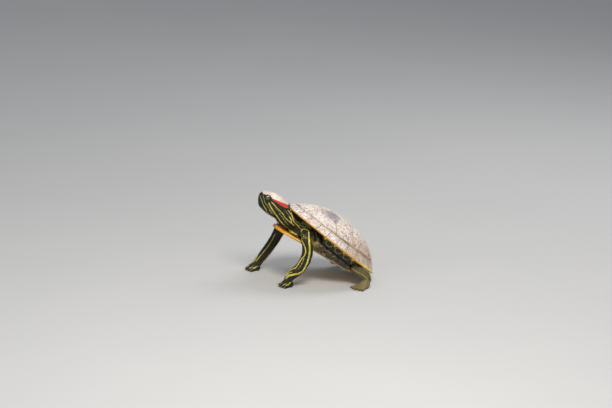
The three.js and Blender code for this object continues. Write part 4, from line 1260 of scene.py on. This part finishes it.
SHOULDER_STRIPES = [
    (0.95, [(24.1, 56.3, 79.7), (24.9, 52.4, 83.8), (35.9, 51.2, 85.5), (48.1, 52.3, 82.7),
            (55.6, 54.2, 72.5), (57, 53, 66)]),
    (0.55, [(25.8, 56, 78.4), (38, 57.5, 78.5), (52.9, 58.3, 76.2)]),
    (0.95, [(9, 69, 75.5), (15, 67.5, 75.5), (22, 64, 74.5), (33, 62, 72.5), (48, 61.5, 72),
            (54, 59.7, 66)]),
    (0.60, [(4, 71, 77), (13, 69, 78), (20, 66, 78), (28, 62, 76.5), (38, 61, 75), (50, 61, 75.5)]),
    (0.55, [(12, 66, 72.5), (20, 62, 70.5), (28, 59, 69), (38, 58, 68.5)]),
    (0.45, [(7.3, 70.5, 114.8), (9.6, 69.8, 109.8), (12.3, 69, 104.9), (14.6, 67, 99.9),
            (15.8, 62.9, 94.5), (15.2, 57.3, 89.5), (17.7, 53.9, 86.9)]),
]
DIM_STRIPES = [
    (0.55, [(8.8, 112, 125.3), (9.2, 111.3, 121.5), (10.3, 107.3, 116.2), (10.6, 106, 113.8)]),
    (0.7, [(0, 117.5, 131.4), (4.2, 117.5, 128.6), (7.1, 115.8, 124.2), (7.6, 114, 120)]),
    (0.6, [(6, 114.1, 132), (9, 112.6, 126.5), (9.2, 111.3, 121.2)]),
    (1.3, [(11.1, 54.1, 95.1), (21, 47.7, 91.4), (30.3, 42.6, 86)]),
    (1.1, [(15.9, 62.5, 93.3), (15, 53, 89.6), (24.4, 47.4, 89.7), (27.9, 43.2, 88.7)]),
    (0.9, [(15.4, 59.8, 85.4), (16.3, 55, 86.5), (23.1, 51.1, 86.4), (28.9, 45.1, 85.7)]),
    (0.9, [(34.1, 41.3, 81.9), (46.4, 43.6, 79.1), (53.9, 46.3, 71), (54.8, 46.6, 66.2)]),
    (0.9, [(38.3, 36.2, 77.1), (41.7, 35.4, 70.1), (36.7, 35.1, 60.9)]),
    (0.8, [(40.3, 33.4, 74.1), (43.1, 32, 68.9), (42, 31, 60)]),
    (0.8, [(46, 40, 77), (52, 42.5, 72), (54, 43, 66)]),
    (0.5, [(10.4, 109, 119.5), (11, 104.5, 113), (11, 100, 107.2), (10, 95, 102)]),
    (0.5, [(12, 96, 114.3), (12.6, 90, 109), (12.3, 84.5, 103.6)]),
    (0.5, [(11.2, 97, 106), (10.6, 91, 98.5), (10.4, 85, 93)]),
    (0.45, [(12.3, 65.6, 103.2), (11.6, 59.3, 100.2), (10, 52, 97.5), (12.2, 46, 96),
            (21.6, 41.1, 94.6)]),
    (0.55, [(14.2, 57.3, 94), (17.9, 50.9, 90.1), (26.7, 46.4, 87.6), (37.1, 44.2, 84.7),
            (46.5, 43.9, 79.3), (51.3, 45.5, 73), (52.5, 45, 66)]),
    (0.6, [(51.3, 48.8, 77.5), (54.6, 48.7, 71.9), (55, 46.6, 65.6)]),
    (0.6, [(35.4, 37.6, 82.6), (38.7, 36.2, 76.2), (41.7, 36.1, 69.8), (39.3, 35.8, 62.8)]),
    (0.5, [(23, 56.9, 79.6), (42.5, 60.8, 81.7), (50, 58.4, 79.7), (54.4, 55.5, 76)]),
    (0.5, [(12.1, 80.2, 110.6), (12.8, 75, 104.3), (14.8, 70.3, 98.4), (16.5, 65.4, 92.4),
           (15.7, 59.7, 86.4)]),
]
RED_PATCH = [(0.9, (10.6, 99.4, 126.3)), (1.5, (11.4, 94, 124)), (2.1, (11.7, 88.7, 120.7)),
             (2.9, (11.2, 81.8, 117.6)), (2.7, (10.8, 77.2, 115.2)), (1.4, (10.2, 74.3, 113.5))]
# Seen from the side, the top of the head above this line is pale: dry skin with a painted highlight.
CROWN_LINE = [(60, 114), (75, 117.3), (80, 119.6), (88.7, 122.9), (94.5, 125.6), (100.9, 128.4),
              (103.5, 132.3), (108, 133.6), (112, 133.2), (119, 130)]
CROWN_FRONT = 113                  # the snout ahead of here is dark
CROWN_REAR = 71                    # and the nape behind here
MARK_NAMES = ["yellow", "olive", "red", "crown", "pale", "dark", "tone", "plates"]
NO_STRIPE = 9                      # a distance at which no stripe is seen
SPOT_SPACING = 0.6                 # of the spots that a stripe is laid out in


def both_sides(points):
    left = [own(*point) for point in points]
    return [left, [mirrored(point, -1) for point in left]]


def both_shoulders(points):
    """The right foreleg stands further forward, so the stripe keeps its place on the leg there."""
    left = [own(*point) for point in points]
    right = []
    for point in left:
        on_leg = LIMBS["foreleg_right"].surface(*LIMBS["foreleg_left"].place_of(point)[:2])
        right.append(mirrored(point, -1).lerp(on_leg, smoothstep(point.x, 26, 42)))
    return [left, right]


def leg_lines(pair, stripes):
    for name in FEET:
        for half, places in stripes if name.startswith(pair) else ():
            yield half, [LIMBS[name].surface(*place) for place in places]


def toe_lines(pair):
    for foot in [FEET[name] for name in FEET if name.startswith(pair)]:
        for i, (root, way, reach) in enumerate(foot.toes()):
            yield 0.55, [foot.place(1.5, 9, (i / 2 - 1) * 4),
                         root.lerp(foot.place(3, 0), 0.5) + UP * 6.5, root + UP * 4.8,
                         root + way * reach * 0.55 + UP * 4.2, root + way * reach + UP * 3.2]


def spot_tree(spots):
    """A tree of the places along some markings, and the half width at each."""
    tree = kdtree.KDTree(len(spots))
    for i, (_, place) in enumerate(spots):
        tree.insert(place, i)
    tree.balance()
    return tree, [half for half, _ in spots]


def stripe_field(skin_tree, stripes):
    """The stripes as spots laid close together on the skin, narrower towards the ends."""
    spots = []
    for half, line in stripes:
        length = sum((b - a).length for a, b in zip(line, line[1:]))
        count = max(4, round(length / SPOT_SPACING))
        for i in range(count + 1):
            t = i / count
            found = skin_tree.find_nearest(world(spline(line, t)))[0]
            taper = smoothstep(min(t, 1 - t) * length, -0.5, 3)
            spots.append((half * mix(0.5, 1, taper), local(found)))
    return spot_tree(spots)


def red_field(steps=80):
    spots = []
    halves = [Vector((half, 0)) for half, _ in RED_PATCH]
    places = [own(*place) for _, place in RED_PATCH]
    for i in range(steps + 1):
        half, place = spline(halves, i / steps).x, spline(places, i / steps)
        spots += [(half, place), (half, mirrored(place, -1))]
    return spot_tree(spots)


class Markings:
    """Signed distances from the edges of the markings, in millimetres, at any place on the skin."""

    def __init__(self, skin_tree):
        tail = [(0.6, [LIMBS["tail"].surface(section, turn) for section in (0.6, 2, 3.2, 4.4)])
                for turn in (40, 140)]
        bold = [(half, line) for half, points in HEAD_STRIPES for line in both_sides(points)]
        bold += [(half, line) for half, points in SHOULDER_STRIPES for line in both_shoulders(points)]
        dim = [(half, line) for half, points in DIM_STRIPES for line in both_sides(points)]
        bold += [*leg_lines("fore", FORELEG_STRIPES), *toe_lines("fore"), *tail]
        dim = [*toe_lines("hind"), *dim, *leg_lines("hind", HINDLEG_STRIPES)]
        self.fields = {"yellow": stripe_field(skin_tree, bold), "olive": stripe_field(skin_tree, dim),
                       "red": red_field()}

    def at(self, point, **more):
        """Every mark at a place, given in the animal's own axes."""
        found = {}
        for name, (tree, halves) in self.fields.items():
            _, i, distance = tree.find(point)
            found[name] = distance - halves[i]
        forward = -point.y
        line = CROWN_LINE[0][1]
        for (f0, h0), (f1, h1) in zip(CROWN_LINE, CROWN_LINE[1:]):
            if f0 <= forward <= f1:
                line = mix(h0, h1, (forward - f0) / (f1 - f0))
        front = CROWN_FRONT - forward + 0.2 * abs(point.x)
        found["crown"] = min(point.z - line, front * 0.6, (forward - CROWN_REAR) * 0.3)
        return found | more


def paleness(point, node, normal):
    """How far the skin fades to tan: under the feet, on the hind feet and in the armpits."""
    pale = smoothstep(-normal.z, 0.55, 0.9) * smoothstep(point.z, 4, 1.5)
    if node.startswith("hind"):
        pale = max(pale, 0.92 if "foot" in node else 0.42)
    if node == "trunk":
        pit = (mirrored(point, hand_of(point)) - own(40, 38, 60)).length
        pale = max(pale, smoothstep(pit, 12, 4) * 0.8)
    return pale


def make_skin_paint(name):
    paint = Paint(name, roughness=0.5, Specular_IOR_Level=0.32)
    slow = paint.noise(75, 3, 0.5)
    blots = paint.noise(190, 4, 0.6)
    fine = paint.noise(620, 4, 0.6)
    grain = paint.noise(2100, 3, 0.6)
    cells, borders = paint.cells(680), paint.cells(680, "DISTANCE_TO_EDGE")
    yellow, olive, red, crown, pale, dark, tone, plates = paint.marks(*MARK_NAMES)
    jitter = (fine - 0.5) * 0.45
    tan = paint.layers(
        paint.blend(slow, (0.21, 0.150, 0.056), (0.37, 0.275, 0.125)),
        (blots.step(0.5, 0.7) * 0.6, (0.085, 0.070, 0.030)))
    bright = paint.blend(blots.step(0.35, 0.65), (0.52, 0.45, 0.050), (0.86, 0.71, 0.160))
    # The crown's pale cover: dry skin, with a painted highlight over the top of the head.
    dry_skin_and_highlight = paint.layers(
        paint.blend(slow.step(0.4, 0.65), (0.68, 0.55, 0.47), (0.86, 0.77, 0.71)),
        (blots.step(0.52, 0.72) * 0.45, (0.56, 0.47, 0.44)))
    blood = paint.blend(fine.step(0.35, 0.7), (0.56, 0.030, 0.016), (0.80, 0.11, 0.045))
    crown = (crown + (slow - 0.5) * 2 + (blots - 0.5) * 3.4).step(-0.5, 0.7)
    gap = borders.step(0.12, 0.02) * plates
    colour = paint.layers(
        paint.blend(slow.step(0.35, 0.65), (0.007, 0.007, 0.005), (0.024, 0.024, 0.010)),
        (tone * 0.36, (0.058, 0.056, 0.024)),
        (blots.step(0.56, 0.72) * 0.35, (0.075, 0.072, 0.030)),
        (pale * 0.85, tan),
        ((olive + jitter).step(0.40, -0.40) * 0.85, (0.29, 0.28, 0.085)),
        ((yellow + jitter).step(0.18, -0.22), bright),
        # dry skin and painted highlight on the crown
        (crown * 0.95, dry_skin_and_highlight),
        ((red + jitter + (blots - 0.5) * 2.2).step(0.25, -0.35), blood),
        (gap * (0.55 - crown * 0.38), (0.012, 0.011, 0.007)),
        (grain.step(0.58, 0.75) * 0.16, (0.012, 0.011, 0.007)),
        # painted shade in the mouth's slit, the nostrils and round the eyeballs
        (dark, (0.010, 0.008, 0.005)))
    relief = borders.step(0.0, 0.16) * plates + cells * plates * -0.5 + fine * 0.45 + grain * 0.2
    return paint.finish(colour, fine.step(0.3, 0.7, 0.46, 0.66) + crown * 0.10, relief, 0.00022, 0.9)


def make_skin():
    bm, node_layer = make_skin_mesh()
    markings = Markings(BVHTree.FromBMesh(bm))
    layers = float_layers(bm, MARK_NAMES)
    places = []
    for vert in bm.verts:
        node = FLESH[vert[node_layer]]
        point = local(vert.co)
        places.append((point, vert.normal.copy(), node))
        # Painted shade in the head's openings: the slit of the mouth, the nostrils, and the skin round
        # each eyeball.
        dark = 0.0
        if -point.y > HEAD_REAR:
            hand = hand_of(point)
            nostril = (mirrored(point, hand) - NOSTRIL).length
            dark = max(hump(mouth_gap(point), 0.45) * 0.9, hump(nostril, 0.6))
            if (point - own(EYE[0] * hand, *EYE[1:])).length < EYE_RADIUS + 0.02:
                dark = 1.0
        found = markings.at(point, pale=paleness(point, node, vert.normal), dark=dark, tone=0.2,
                            plates=mix(0.8, 0.22, smoothstep(-point.y, 84, 99)))
        if "foot" in node and vert.normal.z < -0.5:
            found["yellow"] = found["olive"] = NO_STRIPE
        store(vert, layers, **found)
    skin = new_object("skin", bm)
    finish_piece(skin, make_skin_paint("turtle_skin"), "striped_skin", *FLESH)
    return markings, places


# ------------------------------------------------------------------ scales
SCALE_SIDES = 6
SCALE_CELL = 2.6                   # of the grid that finds a scale's neighbours; the widest spacing
BAKE_PATCH = 0.0015                # half the width of a scale's place on the bake map
FOOT_FROM = 0.82                   # where the foot's share of a leg's bake map begins
COLLAR, RUMP = 33, -21             # the trunk's skin has scales ahead of the one, behind the other
BARE_HEAD = 97                     # the head has none ahead of here
BARE_SOLE = 2.2                    # and the feet have none below this height
SCALE_WIDE, SCALE_LONG = 0.60, 0.70            # half sizes, as shares of the spacing
SCALE_TWIST = 0.18


def scale_width(node, section, turn, point):
    """The spacing of the scales at a place, in millimetres; none where the skin is smooth."""
    forward = -point.y
    if "foot" in node:
        return (1.25 if node.startswith("fore") else 1.4) if point.z > BARE_SOLE else 0
    if node.startswith("foreleg"):
        broad = smoothstep(section, 3.6, 4.4) * smoothstep(section, 8, 7)
        return 1.6 + 0.9 * broad * smoothstep(abs(turn - 40), 85, 45)
    if node.startswith("hindleg"):
        return 2.0
    return {"neck": 1.25, "tail": 1.7, "head": 1.1 if forward < BARE_HEAD else 0,
            "trunk": 1.9 if forward > COLLAR or forward < RUMP else 0}.get(node, 0)


def scatter(candidates, seed):
    """Picks places that keep their own spacing from one another."""
    order = list(range(len(candidates)))
    random.Random(seed).shuffle(order)
    near = [(x, y, z) for x in (-1, 0, 1) for y in (-1, 0, 1) for z in (-1, 0, 1)]
    cells = {}
    chosen = []
    for i in order:
        point, gap = candidates[i]["point"], candidates[i]["gap"]
        x, y, z = (int(value // SCALE_CELL) for value in point)
        others = [other for dx, dy, dz in near for other in cells.get((x + dx, y + dy, z + dz), ())]
        if all((point - other).length_squared >= gap * gap for other in others):
            cells.setdefault((x, y, z), []).append(point)
            chosen.append(candidates[i])
    return chosen


def one_scale():
    bm = bmesh.new()
    for vert in ball(bm, SCALE_SIDES, 4):
        vert.co.x *= 1 - 0.4 * max(0, vert.co.y) ** 2
        vert.co.z = min(vert.co.z, 0.74)
    return new_object("one_scale", bm)


def make_coat(name, places, markings, seed):
    """Overlapping scales as one mesh: copies of one scale, each laid in its own place on the skin."""
    draw = random.Random(seed)
    chosen = scatter(places, seed)
    source = one_scale()
    shape = [vert.co.copy() for vert in source.data.vertices]
    array = source.modifiers.new("array", "ARRAY")
    array.use_relative_offset = False
    array.count = len(chosen)
    mesh = settled(source)
    mesh.name = name
    spots, plan, marked = [], [], {mark: [] for mark in MARK_NAMES}
    for place in chosen:
        normal, gap, tilt = place["normal"], place["gap"], place["tilt"]
        along = (place["along"] - normal * place["along"].dot(normal)).normalized()
        along = (along + along.cross(normal) * draw.uniform(-SCALE_TWIST, SCALE_TWIST)).normalized()
        across = along.cross(normal)
        size = draw.uniform(0.9, 1.1)
        half_wide, half_long = gap * SCALE_WIDE * size, gap * SCALE_LONG * size
        thick = 0.10 + 0.10 * gap
        tone = draw.random()
        for corner in shape:
            rise = corner.z * thick * (1 if corner.z > 0 else 1.6) + tilt * corner.y - 0.02
            point = (place["point"] + across * corner.x * half_wide
                     + along * (corner.y + 0.12) * half_long + normal * rise)
            point.z = max(point.z, 0.15)
            spots.extend(world(point))
            plan.append([place["map"][i] + corner[i] * BAKE_PATCH for i in (0, 1)])
            found = markings.at(point, pale=place["pale"], dark=0.0, tone=tone, plates=0.0)
            for mark, value in found.items():
                marked[mark].append(value)
    mesh.vertices.foreach_set("co", spots)
    for mark, values in marked.items():
        mesh.attributes.new(mark, "FLOAT", "POINT").data.foreach_set("value", values)
    chart = mesh.uv_layers.new(name="OFBake")
    for loop, spot in zip(mesh.loops, chart.data):
        spot.uv = plan[loop.vertex_index]
    mesh.update()
    finish_piece(link(name, mesh), COAT_PAINT, "striped_skin")


def make_scales(markings, places):
    groups = {}
    for point, normal, node in places:
        name = limb_of(node)
        if name in LIMBS:
            section, turn, along = LIMBS[name].place_of(point)
            chart = (turn / 360 + 0.5, section / LIMBS[name].sections * (FOOT_FROM - 0.04) + 0.02)
            piece = f"{name}_scales"
        else:
            collar = -point.y > COLLAR
            section, turn, along = 0, 0, Vector((0, -0.3 if collar else 0.3, -1))
            chart = (point.x / 200 + 0.5, point.z / 200 + (0.2 if collar else 0))
            piece = "collar_scales" if collar else "rump_scales"
        gap = scale_width(node, section, turn, point)
        if not gap or (name == "neck" and markings.at(point)["crown"] > 0.5):
            continue
        if "foot" in node:
            foot = FEET[name]
            offset = point - foot.heel
            ahead, spread = offset.dot(foot.ahead), offset.dot(foot.sideways)
            along = foot.ahead
            chart = (spread / 60 + 0.5, FOOT_FROM + clamp((ahead + 6) / 48) * (0.98 - FOOT_FROM))
        groups.setdefault(piece, []).append({
            "point": point, "normal": normal, "along": along, "gap": gap, "map": chart,
            "tilt": 0.04 if name == "neck" else 0.15, "pale": paleness(point, node, normal)})
    for seed, piece in enumerate(sorted(groups), 100):
        make_coat(piece, groups[piece], markings, seed)


# ------------------------------------------------------------------ eyes and claws
EYEBALL = 4.9                      # radius of the bulging front of the eyeball
EYE_SIDES, CORNEA_BULGE = 4.72, 0.26           # radius of the rest of it, and the bulge in front
CLAW_GIRTH = 1.3


def make_eye_paint():
    paint = Paint("eye_gloss", roughness=0.12, Coat_Weight=1.0, Coat_Roughness=0.03)
    ahead, up = paint.marks("ahead", "up")
    reach = (ahead * ahead + up * up).maths("SQRT")
    fibres = paint.noise(900, 4, 0.7)
    flecks = paint.noise(300, 3, 0.6)
    iris = paint.layers(
        paint.blend(fibres.step(0.35, 0.65), (0.065, 0.068, 0.016), (0.24, 0.22, 0.045)),
        (reach.step(1.9, 1.35) * 0.6, (0.34, 0.31, 0.07)),
        ((up.maths("ABSOLUTE") + (flecks - 0.5) * 0.6).step(1.25, 0.75) * 0.88, (0.018, 0.016, 0.008)))
    colour = paint.layers((0.05, 0.042, 0.02), (reach.step(3.5, 3.15), iris),
                          (reach.step(1.25, 1.1), (0.003, 0.003, 0.003)))
    return paint.finish(colour, flecks.step(0.3, 0.7, 0.08, 0.16))


def make_eye(side, hand, paint):
    centre, out, ahead, up = eye_axes(hand)
    bm = bmesh.new()
    layers = float_layers(bm, ["ahead", "up"])
    for vert in ball(bm, 48, 32):
        x, y, z = vert.co
        reach = EYE_SIDES + CORNEA_BULGE * hump(math.acos(clamp(z, -1, 1)), 0.5)
        in_front = z > 0
        store(vert, layers, ahead=x * EYEBALL if in_front else 9, up=y * EYEBALL if in_front else 9)
        vert.co = world(centre + (ahead * x + up * y + out * z) * reach)
    face_outwards(bm)
    finish_piece(new_object(f"eyeball_{side}", bm), paint, "eye", f"eye_{side}")


def make_claw_paint():
    paint = Paint("claw_horn", roughness=0.38)
    streaks = paint.noise(420, 4, 0.6)
    tip, = paint.marks("tip")
    colour = paint.layers(
        paint.blend(streaks.step(0.35, 0.7), (0.06, 0.045, 0.028), (0.16, 0.125, 0.075)),
        ((tip + (streaks - 0.5) * 0.4).step(0.45, 0.95), (0.44, 0.36, 0.24)))
    return paint.finish(colour, streaks.step(0.3, 0.7, 0.30, 0.48), streaks, 0.0001, 0.6)


def make_claws(name, foot, paint):
    bm = bmesh.new()
    layer = bm.verts.layers.float.new("tip")
    for root, way, reach in foot.clawed_toes():
        side = UP.cross(way)
        for vert in ball(bm, 12, 16):
            x, y, z = vert.co
            share = 0.5 + 0.5 * z
            around = Vector((x, y))
            around = around.normalized() if around.length > 1e-6 else Vector((0, 0))
            girth = CLAW_GIRTH * (1 - share) ** 0.7 * min(1, (share / 0.15 + 1e-6) ** 0.5)
            centre = root + way * (reach - 1.8 + share * (foot.shape["claw"] + 1.4))
            height = mix(2.1, 0.45, share ** 1.6) + 0.5 * math.sin(math.pi * share)
            point = centre + side * around.x * girth * 0.72 + UP * (height + around.y * girth)
            point.z = max(point.z, 0.1)
            vert.co = world(point)
            vert[layer] = share
    bmesh.ops.remove_doubles(bm, verts=bm.verts, dist=1e-6)
    face_outwards(bm)
    finish_piece(new_object(name, bm), paint, "plastron_horn")


make_camera()
set_the_stage()
make_shell()
make_plastron()
markings, places = make_skin()
COAT_PAINT = make_skin_paint("scale_skin")
make_scales(markings, places)
eye_paint = make_eye_paint()
make_eye("left", 1, eye_paint)
make_eye("right", -1, eye_paint)
claw_paint = make_claw_paint()
for leg, foot in FEET.items():
    make_claws(f"{leg}_claws", foot, claw_paint)
